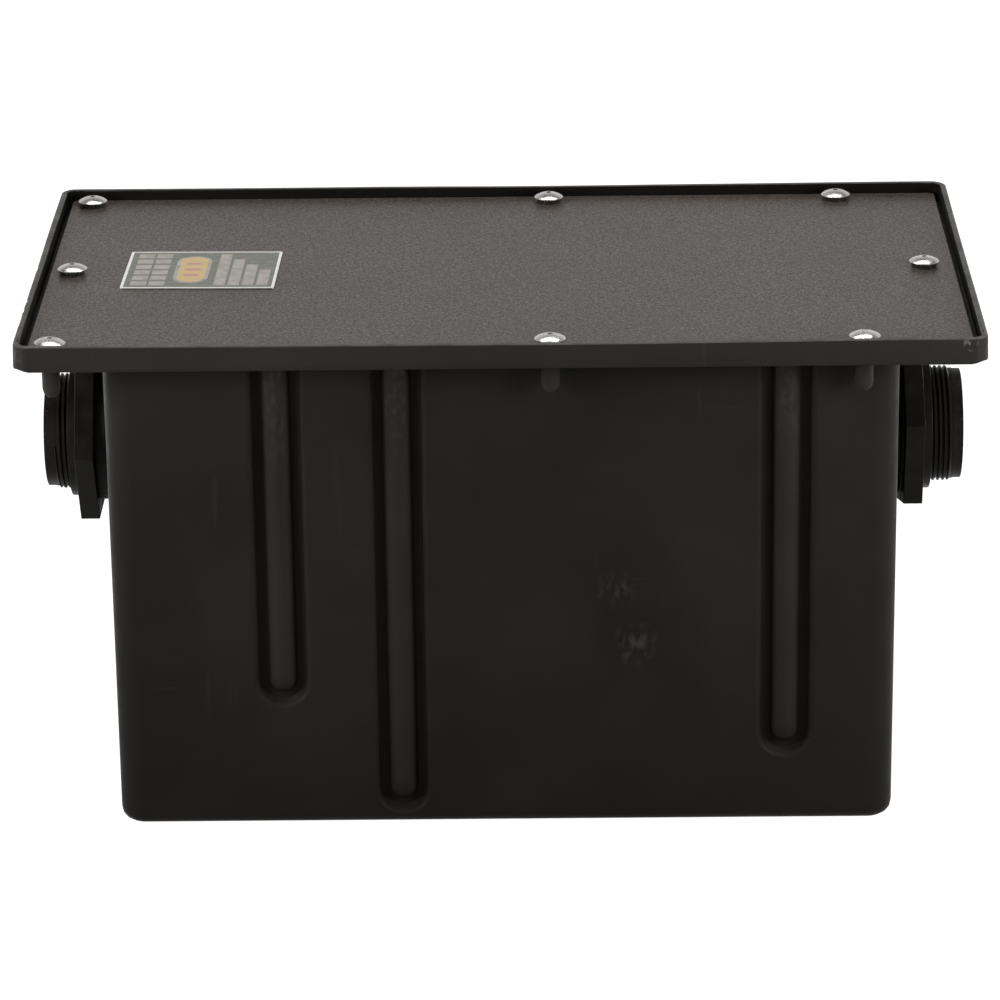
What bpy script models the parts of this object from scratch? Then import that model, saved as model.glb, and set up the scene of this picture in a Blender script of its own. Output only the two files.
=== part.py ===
"""Under-sink grease trap: a moulded tank with an outward rim and a sunk cover held by eight screws.

Three baffle plates stand in channels moulded into the long walls, and a threaded tank fitting
goes through each end wall. Metres, +Z up. The origin is on the floor that the tank stands on,
below the middle of the rim. Water comes in at -X and leaves at +X, and -Y is the front.
"""

import math

import bmesh
import bpy
from mathutils import Matrix, Vector

# Rim: the outward shelf that carries the cover, and the upright lip round it
RIM_LENGTH = 0.640
RIM_WIDTH = 0.372
TANK_HEIGHT = 0.3563
RIM_CORNER_RADIUS = 0.011
LIP_THICKNESS = 0.0045
LIP_EDGE_RADIUS = 0.0012
SHELF_THICKNESS = 0.0045
COVER_RECESS = 0.0075

# Body: the moulded tub below the rim, and how far the shelf reaches out from it
END_SHELF_REACH = 0.0549
SIDE_SHELF_REACH = 0.0325
BODY_CORNER_RADIUS = 0.018
FOOT_RADIUS = 0.009
WALL_THICKNESS = 0.0048
WALL_DRAFT = 0.001

# Gap that is kept between pieces that touch
SEAT_GAP = 0.0003

# Cover plate and its gasket
COVER_THICKNESS = 0.0038
COVER_END_GAP = 0.0038
COVER_SIDE_GAP = 0.0023
COVER_EDGE_RADIUS = 0.0006
GASKET_THICKNESS = 0.002
GASKET_OUTER_INSET = 0.0015
GASKET_INNER_MARGIN = 0.003

# Cover screws, and the threaded inserts that they go into
SCREW_HEAD_RADIUS = 0.01045
SCREW_BEARING_RADIUS = 0.0085
SCREW_TAPER_HEIGHT = 0.0031
SCREW_HEAD_EDGE = 0.0006
SCREW_DOME_HEIGHT = 0.0031
SCREW_SHANK_RADIUS = 0.003
SCREW_LENGTH = 0.0185
SCREW_HOLE_CLEARANCE = 0.0006
INSERT_WALL = 0.0011
INSERT_LENGTH = 0.016
INSERT_FLOOR = 0.0012
BOSS_RADIUS = 0.00605
BOSS_LENGTH = 0.0231

# Screw places, measured in from the rim's edges, and from its middle for the middle pair
SCREW_SIDE_INSET = 0.0205
SCREW_LEFT_INSET = 0.0237
SCREW_RIGHT_INSET = 0.0289
SCREW_RIGHT_PAIR_INSET = 0.0804
SCREW_MIDDLE_X = 0.0329

# Baffle channels: a trough down the outside of the wall with a half-round ridge in it
RIDGE_HALF_WIDTH = 0.0093
RIDGE_SINK = 0.0004
TROUGH_HALF_WIDTH = 0.0175
TROUGH_DEPTH = 0.0085
GROOVE_SIDE_LEAN = 0.0016
RIDGE_CREST_RADIUS = 0.008
GROOVE_RADIUS = 0.0019
SHOULDER_RADIUS = 0.0035
RAIL_TOP_RADIUS = 0.0016
RAIL_TOP_DROP = 0.004
CHANNEL_REACH = 0.004

# Baffle plates. Their channels are placed from the end wall of the inlet or of the outlet
BAFFLE_THICKNESS = 0.0064
BAFFLE_TOP_DROP = 0.006
INLET_BAFFLE_FROM_INLET = 0.1150
INLET_CHANNEL_END = 0.1053
WEIR_BAFFLE_FROM_INLET = 0.1954
WEIR_CHANNEL_END = 0.0260
WEIR_HEIGHT = 0.190
OUTLET_BAFFLE_FROM_OUTLET = 0.0752
OUTLET_CHANNEL_END = 0.0660

# Tank fittings: the axis is measured down from the top of the rim, and the reach out from the
# end wall. Both fittings are alike, but the inlet's nut stands on a thicker washer
FITTING_DROP = 0.1219
PAD_RADIUS = 0.0495
PAD_HEIGHT = 0.0092
PAD_EDGE_RADIUS = 0.002
THREAD_RADIUS = 0.0401
FITTING_REACH = 0.0526
END_RING_RADIUS = 0.03815
END_RING_LENGTH = 0.0054
END_RING_CHAMFER = 0.0008
BORE_RADIUS = 0.026
SOCKET_RADIUS = 0.0303
SOCKET_DEPTH = 0.030
FLANGE_RADIUS = 0.050
FLANGE_THICKNESS = 0.007
FLANGE_EDGE_RADIUS = 0.0015
FITTING_GASKET_THICKNESS = 0.003
FITTING_GASKET_RADIUS = 0.0485
INLET_WASHER_THICKNESS = 0.0066
OUTLET_WASHER_THICKNESS = 0.0015
WASHER_RADIUS = 0.0480
NUT_ACROSS_FLATS = 0.1090
NUT_THICKNESS = 0.0132
NUT_CORNER_CUT = 0.0012
COLLAR_RADIUS = 0.0452
COLLAR_LENGTH = 0.0064
COLLAR_EDGE_RADIUS = 0.0012
INLET_NUT_TURN = 0.0
OUTLET_NUT_TURN = math.radians(-16.4)

# Nameplate: a thin plate stuck to the cover, a little out of square. Its middle is placed from
# the rim's inlet edge
PLATE_LENGTH = 0.1055
PLATE_WIDTH = 0.0847
PLATE_THICKNESS = 0.0008
PLATE_CORNER_RADIUS = 0.0015
PLATE_INSET = 0.1131
PLATE_Y = 0.0030
PLATE_TURN = math.radians(-1.4)

# Facets
CORNER_STEPS = 5
EDGE_STEPS = 4
SMALL_EDGE_STEPS = 2
CHANNEL_EDGE_STEPS = 3
CHANNEL_TURN_STEPS = 8
FITTING_SEGMENTS = 36
SCREW_SEGMENTS = 16
BOSS_SEGMENTS = 12
BOSS_BALL_STEPS = 3
MERGE_DISTANCE = 1e-6

# Sizes that follow from those above
COVER_TOP = TANK_HEIGHT - COVER_RECESS
COVER_BOTTOM = COVER_TOP - COVER_THICKNESS
GASKET_TOP = COVER_BOTTOM - SEAT_GAP
GASKET_BOTTOM = GASKET_TOP - GASKET_THICKNESS
SHELF_TOP = GASKET_BOTTOM - SEAT_GAP
SHELF_BOTTOM = SHELF_TOP - SHELF_THICKNESS
COVER_END_INSET = LIP_THICKNESS + COVER_END_GAP
COVER_SIDE_INSET = LIP_THICKNESS + COVER_SIDE_GAP
BODY_LENGTH = RIM_LENGTH - 2 * END_SHELF_REACH
BODY_WIDTH = RIM_WIDTH - 2 * SIDE_SHELF_REACH
OPENING_LENGTH = BODY_LENGTH - 2 * WALL_THICKNESS
OPENING_WIDTH = BODY_WIDTH - 2 * WALL_THICKNESS
INLET_BAFFLE_X = INLET_BAFFLE_FROM_INLET - BODY_LENGTH / 2
WEIR_BAFFLE_X = WEIR_BAFFLE_FROM_INLET - BODY_LENGTH / 2
OUTLET_BAFFLE_X = BODY_LENGTH / 2 - OUTLET_BAFFLE_FROM_OUTLET
PLATE_X = PLATE_INSET - RIM_LENGTH / 2
SLOT_HALF_WIDTH = BAFFLE_THICKNESS / 2 + SEAT_GAP
FITTING_HEIGHT = TANK_HEIGHT - FITTING_DROP
INSERT_BORE_RADIUS = SCREW_SHANK_RADIUS + SEAT_GAP
INSERT_RADIUS = INSERT_BORE_RADIUS + INSERT_WALL
FITTING_HOLE_RADIUS = THREAD_RADIUS + SEAT_GAP
FRONT = -1
BACK = 1
INLET = -1
OUTLET = 1


def inset_at(z):
    """How far the draft has drawn a wall in at this height."""
    return WALL_DRAFT * (SHELF_BOTTOM - z) / SHELF_BOTTOM


def wall_y(z, side):
    """The outer face of a long wall at this height."""
    return side * (BODY_WIDTH / 2 - inset_at(z))


def screw_places():
    """The (x, y) of each cover screw: three at the left, one at the right, a pair each in between."""
    left = -RIM_LENGTH / 2 + SCREW_LEFT_INSET
    right = RIM_LENGTH / 2 - SCREW_RIGHT_INSET
    right_pair = RIM_LENGTH / 2 - SCREW_RIGHT_PAIR_INSET
    side = RIM_WIDTH / 2 - SCREW_SIDE_INSET
    ends = [(left, 0), (right, 0)]
    rows = [(x, y) for y in (-side, side) for x in (left, SCREW_MIDDLE_X, right_pair)]
    return ends + rows


def material(name, colour, roughness, metallic=0.0):
    made = bpy.data.materials.new(name)
    made.use_nodes = True
    shader = made.node_tree.nodes["Principled BSDF"]
    shader.inputs["Base Color"].default_value = (*colour, 1)
    shader.inputs["Roughness"].default_value = roughness
    shader.inputs["Metallic"].default_value = metallic
    made.diffuse_color = (*colour, 1)
    return made


def make_object(name, bm, finish=None, smooth_angle=35):
    """Turn a bmesh into an object with its faces out, smooth where its facets turn only a little."""
    bmesh.ops.remove_doubles(bm, verts=bm.verts, dist=MERGE_DISTANCE)
    bmesh.ops.recalc_face_normals(bm, faces=bm.faces)
    mesh = bpy.data.meshes.new(name)
    bm.to_mesh(mesh)
    bm.free()
    mesh.shade_smooth()
    mesh.set_sharp_from_angle(angle=math.radians(smooth_angle))
    made = bpy.data.objects.new(name, mesh)
    bpy.context.scene.collection.objects.link(made)
    if finish:
        mesh.materials.append(finish)
    return made


def make_cutter(name, bm):
    """A helper solid that isn't part of the object."""
    made = make_object(name, bm)
    made.hide_render = True
    made.display_type = "WIRE"
    return made


def combine(target, other, operation):
    """Add or take away a helper solid."""
    boolean = target.modifiers.new(f"{operation.lower()} {other.name}", "BOOLEAN")
    boolean.operation = operation
    boolean.solver = "EXACT"
    boolean.object = other


def rounded_rectangle(length, width, radius, z):
    """One level loop of points with round corners."""
    points = []
    for corner in range(4):
        sign_x = (1, -1, -1, 1)[corner]
        sign_y = (1, 1, -1, -1)[corner]
        centre = Vector((sign_x * (length / 2 - radius), sign_y * (width / 2 - radius), z))
        for step in range(CORNER_STEPS + 1):
            angle = math.pi / 2 * (corner + step / CORNER_STEPS)
            points.append(centre + radius * Vector((math.cos(angle), math.sin(angle), 0)))
    return points


def circle(radius, z, segments):
    """One level loop of points round the Z axis."""
    turns = [2 * math.pi * step / segments for step in range(segments)]
    return [Vector((radius * math.cos(turn), radius * math.sin(turn), z)) for turn in turns]


def stack(loops, ring=False):
    """Skin loops of equal counts into one solid, capped at both ends, or closed on itself."""
    bm = bmesh.new()
    rows = [[bm.verts.new(point) for point in loop] for loop in loops]
    count = len(rows[0])
    pairs = list(zip(rows, rows[1:]))
    if ring:
        pairs.append((rows[-1], rows[0]))
    else:
        bm.faces.new(rows[0][::-1])
        bm.faces.new(rows[-1])
    for low, high in pairs:
        for i in range(count):
            j = (i + 1) % count
            bm.faces.new((low[i], low[j], high[j], high[i]))
    return bm


def block(length, width, radius, levels):
    """Rounded rectangles stacked at (height, inset) levels, from the lowest up."""
    return stack(
        [rounded_rectangle(length - 2 * inset, width - 2 * inset, radius - inset, z) for z, inset in levels]
    )


def edge_levels(z, radius, steps, upward):
    """The (height, inset) levels of an edge rounded over at height z, going up."""
    levels = []
    for step in range(steps + 1):
        angle = math.pi / 2 * step / steps
        inset = radius * (1 - math.sin(angle)) if upward else radius * (1 - math.cos(angle))
        rise = radius * (1 - math.cos(angle)) if upward else radius * math.sin(angle) - radius
        levels.append((z + rise, inset))
    return levels


def turned(profile, segments):
    """Spin a closed outline of (radius, height) points round Z. Points on the axis close it there."""
    bm = bmesh.new()
    corners = [bm.verts.new((radius, 0, z)) for radius, z in profile]
    for start, end in zip(corners, corners[1:] + corners[:1]):
        if start.co.x > 0 or end.co.x > 0:
            bm.edges.new((start, end))
    bmesh.ops.spin(
        bm,
        geom=list(bm.verts) + list(bm.edges),
        cent=(0, 0, 0),
        axis=(0, 0, 1),
        angle=2 * math.pi,
        steps=segments,
        use_merge=True,
    )
    bmesh.ops.remove_doubles(bm, verts=bm.verts, dist=MERGE_DISTANCE)
    return bm


def rounded_path(points, radii, steps):
    """An open path of (u, v) points with each inner corner turned into an arc of its own radius."""
    path = [Vector(points[0])]
    for before, corner, after, radius in zip(points, points[1:], points[2:], radii):
        corner = Vector(corner)
        if not radius:
            path.append(corner)
            continue
        to_before = (Vector(before) - corner).normalized()
        to_after = (Vector(after) - corner).normalized()
        half = to_before.angle(to_after) / 2
        middle = (to_before + to_after).normalized()
        centre = corner + middle * radius / math.sin(half)
        start = corner + to_before * radius / math.tan(half) - centre
        end = corner + to_after * radius / math.tan(half) - centre
        sweep = start.angle_signed(end)
        for step in range(steps + 1):
            turn = sweep * step / steps
            path.append(centre + Matrix.Rotation(-turn, 2) @ start)
    path.append(Vector(points[-1]))
    return path


def merge_into(target, source, transform):
    """Copy one bmesh into another, moved."""
    mesh = bpy.data.meshes.new("copied")
    source.to_mesh(mesh)
    source.free()
    mesh.transform(transform)
    target.from_mesh(mesh)
    bpy.data.meshes.remove(mesh)


def run_down_wall(section, closed, top, end, x, side):
    """Run a half section down a wall, round below its end and up again.

    The section's points are (distance from the channel's middle, depth in from the wall's outer
    face). An open section starts and ends on the middle line.
    """
    bm = bmesh.new()
    corners = [bm.verts.new((distance, depth, top)) for distance, depth in section]
    loop = corners[1:] + corners[:1] if closed else corners[1:]
    edges = [bm.edges.new(pair) for pair in zip(corners, loop)]

    def run(edges, move):
        made = bmesh.ops.extrude_edge_only(bm, edges=edges)["geom"]
        moved = [item for item in made if isinstance(item, bmesh.types.BMVert)]
        bmesh.ops.translate(bm, verts=moved, vec=move)
        return [item for item in made if isinstance(item, bmesh.types.BMEdge)]

    edges = run(edges, (0, 0, end - top))
    corners = list({corner for edge in edges for corner in edge.verts})
    turned_geometry = bmesh.ops.spin(
        bm,
        geom=corners + edges,
        cent=(0, 0, end),
        axis=(0, 1, 0),
        angle=math.pi,
        steps=CHANNEL_TURN_STEPS,
    )["geom_last"]
    edges = [item for item in turned_geometry if isinstance(item, bmesh.types.BMEdge)]
    run(edges, (0, 0, top - end))
    bmesh.ops.remove_doubles(bm, verts=bm.verts, dist=MERGE_DISTANCE)
    bmesh.ops.holes_fill(bm, edges=[edge for edge in bm.edges if edge.is_boundary])
    for corner in bm.verts:
        across, depth, z = corner.co
        corner.co = (x + across, wall_y(z, side) - side * depth, z)
    return bm


def trough_section():
    """Half of what is cut from the outside of the wall: ridge, groove and shoulder."""
    outside = -CHANNEL_REACH
    shoulder_end = TROUGH_HALF_WIDTH + SHOULDER_RADIUS
    path = rounded_path(
        [
            (0, RIDGE_SINK),
            (RIDGE_HALF_WIDTH - GROOVE_SIDE_LEAN, RIDGE_SINK),
            (RIDGE_HALF_WIDTH, TROUGH_DEPTH),
            (TROUGH_HALF_WIDTH - GROOVE_SIDE_LEAN, TROUGH_DEPTH),
            (TROUGH_HALF_WIDTH, 0),
            (shoulder_end, 0),
        ],
        (RIDGE_CREST_RADIUS, GROOVE_RADIUS, GROOVE_RADIUS, SHOULDER_RADIUS),
        CHANNEL_EDGE_STEPS,
    )[:-1]
    return path + [Vector((path[-1].x, outside)), Vector((0, outside))]


def rail_section():
    """Half of what stands in from the inner face of the wall, beside the slot of the baffle."""
    root = WALL_THICKNESS - CHANNEL_REACH
    crest = WALL_THICKNESS + TROUGH_DEPTH
    foot = TROUGH_HALF_WIDTH + WALL_THICKNESS / 2
    return rounded_path(
        [
            (SLOT_HALF_WIDTH, root),
            (SLOT_HALF_WIDTH, crest),
            (foot - GROOVE_SIDE_LEAN, crest),
            (foot, WALL_THICKNESS),
            (foot, root),
        ],
        (RAIL_TOP_RADIUS, RAIL_TOP_RADIUS, RAIL_TOP_RADIUS),
        SMALL_EDGE_STEPS,
    )


def channels():
    """The (x, end height) of each baffle channel. Each is on the front and on the back wall."""
    return (
        (INLET_BAFFLE_X, INLET_CHANNEL_END),
        (WEIR_BAFFLE_X, WEIR_CHANNEL_END),
        (OUTLET_BAFFLE_X, OUTLET_CHANNEL_END),
    )


def channel_solids(name, section, closed, top):
    """One helper that holds the same section at all six channels."""
    bm = bmesh.new()
    for x, end in channels():
        for side in (FRONT, BACK):
            merge_into(bm, run_down_wall(section, closed, top, end, x, side), Matrix())
    return make_cutter(name, bm)


def end_wall_x(end):
    """The outer face of an end wall at the height of the fittings."""
    return end * (BODY_LENGTH / 2 - inset_at(FITTING_HEIGHT))


def fitting_frame(end, distance):
    """A frame with +Z out of the tank along a fitting's axis, this far out from the end wall."""
    turn = Matrix.Rotation(math.pi / 2 * end, 4, "Y")
    return Matrix.Translation((end_wall_x(end) + end * distance, 0, FITTING_HEIGHT)) @ turn


def boss_profile(radius, length):
    """The (radius, height) of a round boss with a ball end, from its end up to z = 0."""
    turns = [math.pi / 2 * step / BOSS_BALL_STEPS for step in range(BOSS_BALL_STEPS)]
    centre = radius - length
    ball = [(radius * math.cos(turn), centre - radius * math.sin(turn)) for turn in turns]
    return ball[::-1] + [(radius, 0)]


def column(profile, segments):
    """A solid round column with flat ends, from the (radius, height) of its levels."""
    return stack([circle(radius, z, segments) for radius, z in profile])


def at_screws(name, profile, z):
    """A helper with one column at each screw."""
    bm = bmesh.new()
    for x, y in screw_places():
        merge_into(bm, column(profile, BOSS_SEGMENTS), Matrix.Translation((x, y, z)))
    return make_cutter(name, bm)


def at_fittings(name, profile):
    """A helper with one column at each fitting, its heights measured out from the end wall."""
    bm = bmesh.new()
    for end in (INLET, OUTLET):
        merge_into(bm, column(profile, FITTING_SEGMENTS), fitting_frame(end, 0))
    return make_cutter(name, bm)


def rod(radius, low, high):
    """The levels of a plain cylinder."""
    return [(radius, low), (radius, high)]


def tube(inner, outer, low, high):
    """Outline of a plain ring."""
    return [(inner, low), (outer, low), (outer, high), (inner, high)]


def body_levels():
    """The levels of the tub's outer form, with a round foot, up into the shelf."""
    foot = edge_levels(0, FOOT_RADIUS, EDGE_STEPS, upward=True)
    levels = [(z, inset + inset_at(z)) for z, inset in foot]
    top = (SHELF_BOTTOM + SHELF_TOP) / 2
    return levels + [(top, inset_at(top))]


def cavity_levels():
    """The levels of the hollow, one wall in from the outer form."""
    radius = FOOT_RADIUS - WALL_THICKNESS
    foot = edge_levels(WALL_THICKNESS, radius, EDGE_STEPS, upward=True)
    levels = [(z, inset + inset_at(z)) for z, inset in foot]
    top = SHELF_TOP + LIP_THICKNESS
    return levels + [(top, inset_at(top))]


def rim_levels():
    """The levels of the rim's outer form, with its edges broken."""
    low = edge_levels(SHELF_BOTTOM, LIP_EDGE_RADIUS, SMALL_EDGE_STEPS, upward=True)
    high = edge_levels(TANK_HEIGHT, LIP_EDGE_RADIUS, SMALL_EDGE_STEPS, upward=False)
    return low + high


def pocket_levels():
    """The levels of the sunk place for the cover, flared where the lip's edge is broken."""
    edge = edge_levels(TANK_HEIGHT, LIP_EDGE_RADIUS, SMALL_EDGE_STEPS, upward=False)
    flare = [(z, -inset) for z, inset in edge]
    return [(SHELF_TOP, 0)] + flare + [(TANK_HEIGHT + LIP_THICKNESS, -LIP_EDGE_RADIUS)]


def make_tank(finish):
    """The moulded tank: tub, baffle channels, rim, screw bosses and fitting pads in one piece."""
    tank = make_object(
        "tank", block(BODY_LENGTH, BODY_WIDTH, BODY_CORNER_RADIUS, body_levels()), finish
    )
    troughs = channel_solids("channel_troughs", trough_section(), False, SHELF_TOP)
    combine(tank, troughs, "DIFFERENCE")

    rim = block(RIM_LENGTH, RIM_WIDTH, RIM_CORNER_RADIUS, rim_levels())
    combine(tank, make_cutter("rim_block", rim), "UNION")
    root = SHELF_THICKNESS / 2
    bosses = at_screws("screw_bosses", boss_profile(BOSS_RADIUS, BOSS_LENGTH + root), SHELF_BOTTOM + root)
    combine(tank, bosses, "UNION")
    pad_edge = edge_levels(PAD_HEIGHT, PAD_EDGE_RADIUS, SMALL_EDGE_STEPS, upward=False)
    pad = [(PAD_RADIUS, -WALL_THICKNESS / 2)] + [(PAD_RADIUS - inset, z) for z, inset in pad_edge]
    combine(tank, at_fittings("fitting_pads", pad), "UNION")

    through = WALL_THICKNESS + PAD_HEIGHT
    bore = rod(FITTING_HOLE_RADIUS, -through, through)
    combine(tank, at_fittings("fitting_holes", bore), "DIFFERENCE")
    socket = rod(INSERT_RADIUS + SEAT_GAP, -INSERT_LENGTH - SEAT_GAP, SHELF_THICKNESS)
    combine(tank, at_screws("insert_sockets", socket, SHELF_TOP), "DIFFERENCE")

    pocket_length = RIM_LENGTH - 2 * LIP_THICKNESS
    pocket_width = RIM_WIDTH - 2 * LIP_THICKNESS
    pocket = block(pocket_length, pocket_width, RIM_CORNER_RADIUS - LIP_THICKNESS, pocket_levels())
    combine(tank, make_cutter("cover_pocket", pocket), "DIFFERENCE")

    hollow_corner = BODY_CORNER_RADIUS - WALL_THICKNESS
    hollow = block(OPENING_LENGTH, OPENING_WIDTH, hollow_corner, cavity_levels())
    hollow = make_cutter("tank_hollow", hollow)
    rail_top = SHELF_BOTTOM - RAIL_TOP_DROP
    rails = channel_solids("baffle_rails", rail_section(), True, rail_top)
    combine(hollow, rails, "DIFFERENCE")
    combine(tank, hollow, "DIFFERENCE")
    return tank


def make_cover(finish, gasket_finish):
    """The flat cover plate and the flat gasket under it, drilled together for the screws."""
    length = RIM_LENGTH - 2 * COVER_END_INSET
    width = RIM_WIDTH - 2 * COVER_SIDE_INSET
    corner = RIM_CORNER_RADIUS - COVER_SIDE_INSET
    top_edge = edge_levels(COVER_TOP, COVER_EDGE_RADIUS, SMALL_EDGE_STEPS, upward=False)
    cover = make_object(
        "cover_plate", block(length, width, corner, [(COVER_BOTTOM, 0)] + top_edge), finish
    )

    outer_length = length - 2 * GASKET_OUTER_INSET
    outer_width = width - 2 * GASKET_OUTER_INSET
    outer_corner = corner - GASKET_OUTER_INSET
    inner_length = OPENING_LENGTH + 2 * GASKET_INNER_MARGIN
    inner_width = OPENING_WIDTH + 2 * GASKET_INNER_MARGIN
    inner_corner = BODY_CORNER_RADIUS - WALL_THICKNESS + GASKET_INNER_MARGIN
    gasket = make_object(
        "cover_gasket",
        stack(
            [
                rounded_rectangle(outer_length, outer_width, outer_corner, GASKET_BOTTOM),
                rounded_rectangle(outer_length, outer_width, outer_corner, GASKET_TOP),
                rounded_rectangle(inner_length, inner_width, inner_corner, GASKET_TOP),
                rounded_rectangle(inner_length, inner_width, inner_corner, GASKET_BOTTOM),
            ],
            ring=True,
        ),
        gasket_finish,
    )

    drill = rod(SCREW_SHANK_RADIUS + SCREW_HOLE_CLEARANCE, SHELF_TOP, TANK_HEIGHT)
    drills = at_screws("screw_holes", drill, 0)
    combine(cover, drills, "DIFFERENCE")
    combine(gasket, drills, "DIFFERENCE")


def screw_profile():
    """Outline of a mushroom-head screw, with the underside of its head at z = 0."""
    rim_low = SCREW_TAPER_HEIGHT
    rim_high = rim_low + SCREW_HEAD_EDGE
    tip = -SCREW_LENGTH
    tip_chamfer = SCREW_SHANK_RADIUS / 3
    ball = (SCREW_HEAD_RADIUS**2 + SCREW_DOME_HEIGHT**2) / (2 * SCREW_DOME_HEIGHT)
    reach = math.asin(SCREW_HEAD_RADIUS / ball)
    steps = EDGE_STEPS
    dome = [reach * (1 - step / steps) for step in range(steps + 1)]
    apex = rim_high + SCREW_DOME_HEIGHT
    return [
        (0, tip),
        (SCREW_SHANK_RADIUS - tip_chamfer, tip),
        (SCREW_SHANK_RADIUS, tip + tip_chamfer),
        (SCREW_SHANK_RADIUS, 0),
        (SCREW_BEARING_RADIUS, 0),
        (SCREW_HEAD_RADIUS, rim_low),
    ] + [(max(ball * math.sin(turn), 0), apex - ball * (1 - math.cos(turn))) for turn in dome]


def insert_profile():
    """Outline of a blind threaded insert, with its mouth at z = 0."""
    bore_floor = INSERT_FLOOR - INSERT_LENGTH
    return [
        (0, -INSERT_LENGTH),
        (INSERT_RADIUS, -INSERT_LENGTH),
        (INSERT_RADIUS, 0),
        (INSERT_BORE_RADIUS, 0),
        (INSERT_BORE_RADIUS, bore_floor),
        (0, bore_floor),
    ]


def make_screws(screw_finish, insert_finish):
    """The eight cover screws and the insert that each goes into."""
    screw = make_object("cover_screw_1", turned(screw_profile(), SCREW_SEGMENTS), screw_finish)
    insert = make_object("screw_insert_1", turned(insert_profile(), BOSS_SEGMENTS), insert_finish)
    for number, (x, y) in enumerate(screw_places(), start=1):
        if number > 1:
            screw = bpy.data.objects.new(f"cover_screw_{number}", screw.data)
            insert = bpy.data.objects.new(f"screw_insert_{number}", insert.data)
            bpy.context.scene.collection.objects.link(screw)
            bpy.context.scene.collection.objects.link(insert)
        screw.location = (x, y, COVER_TOP + SEAT_GAP)
        insert.location = (x, y, SHELF_TOP)


def plate_from_outline(name, outline, x, finish):
    """A flat plate across the tank, from its (y, z) outline."""
    bm = bmesh.new()
    low_x = x - BAFFLE_THICKNESS / 2
    face = bm.faces.new([bm.verts.new((low_x, y, z)) for y, z in outline])
    made = bmesh.ops.extrude_face_region(bm, geom=[face])["geom"]
    moved = [item for item in made if isinstance(item, bmesh.types.BMVert)]
    bmesh.ops.translate(bm, verts=moved, vec=(BAFFLE_THICKNESS, 0, 0))
    return make_object(name, bm, finish)


def mirrored_outline(half):
    """A whole outline from its half at +Y, given from the top down."""
    return half + [(-y, z) for y, z in reversed(half)]


def make_baffles(finish):
    """Two baffles that hang in closed-ended channels, and a weir that stands on the floor."""
    slot_reach = WALL_THICKNESS + SEAT_GAP
    rail_reach = slot_reach + TROUGH_DEPTH
    top = SHELF_BOTTOM - BAFFLE_TOP_DROP
    end_seat = SEAT_GAP - math.sqrt(SLOT_HALF_WIDTH**2 - (BAFFLE_THICKNESS / 2) ** 2)
    for name, x, channel_end in (
        ("inlet_baffle", INLET_BAFFLE_X, INLET_CHANNEL_END),
        ("outlet_baffle", OUTLET_BAFFLE_X, OUTLET_CHANNEL_END),
    ):
        low = channel_end + end_seat
        half = [(wall_y(z, BACK) - slot_reach, z) for z in (top, low)]
        plate_from_outline(name, mirrored_outline(half), x, finish)

    tab_low = WEIR_CHANNEL_END + end_seat
    floor = WALL_THICKNESS + SEAT_GAP
    above_foot = FOOT_RADIUS + SEAT_GAP
    half = [(wall_y(z, BACK) - slot_reach, z) for z in (WEIR_HEIGHT, tab_low)]
    half.append((wall_y(tab_low, BACK) - rail_reach, tab_low))
    half.append((wall_y(above_foot, BACK) - rail_reach, above_foot))
    half.append((wall_y(above_foot, BACK) - rail_reach, floor))
    plate_from_outline("weir_baffle", mirrored_outline(half), WEIR_BAFFLE_X, finish)


def fitting_profile():
    """Outline of a tank fitting: flange inside the tank, threaded tube and plain end ring.

    Heights are measured out from the outer face of the end wall.
    """
    flange_face = gasket_face() - FITTING_GASKET_THICKNESS - SEAT_GAP
    flange_back = flange_face - FLANGE_THICKNESS
    end = FITTING_REACH
    thread_end = end - END_RING_LENGTH
    stop = end - SOCKET_DEPTH
    outline = [
        (BORE_RADIUS, flange_back),
        (FLANGE_RADIUS, flange_back),
        (FLANGE_RADIUS, flange_face),
        (THREAD_RADIUS, flange_face),
        (THREAD_RADIUS, thread_end),
        (END_RING_RADIUS, thread_end),
        (END_RING_RADIUS, end - END_RING_CHAMFER),
        (END_RING_RADIUS - END_RING_CHAMFER, end),
        (SOCKET_RADIUS, end),
        (SOCKET_RADIUS, stop),
        (BORE_RADIUS, stop),
    ]
    rounded = rounded_path(outline[:4], (FLANGE_EDGE_RADIUS, 0), SMALL_EDGE_STEPS)
    return [tuple(point) for point in rounded] + outline[4:]


def gasket_face():
    """Where the gasket meets the inside of the end wall, clear of the wall's draft."""
    lean = WALL_DRAFT * FLANGE_RADIUS / SHELF_BOTTOM
    return -WALL_THICKNESS - lean - SEAT_GAP


def hexagon(flats, z, turn, segments):
    """A level hexagon drawn with as many points as a circle, its flats along X before its turn."""
    turn += math.pi / 6
    points = []
    for step in range(segments):
        angle = 2 * math.pi * step / segments
        to_flat = (angle + math.pi / 6) % (math.pi / 3) - math.pi / 6
        to_flat = math.pi / 6 - abs(to_flat)
        radius = flats / 2 / math.cos(to_flat)
        points.append(Vector((radius * math.cos(angle + turn), radius * math.sin(angle + turn), z)))
    return points


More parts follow.
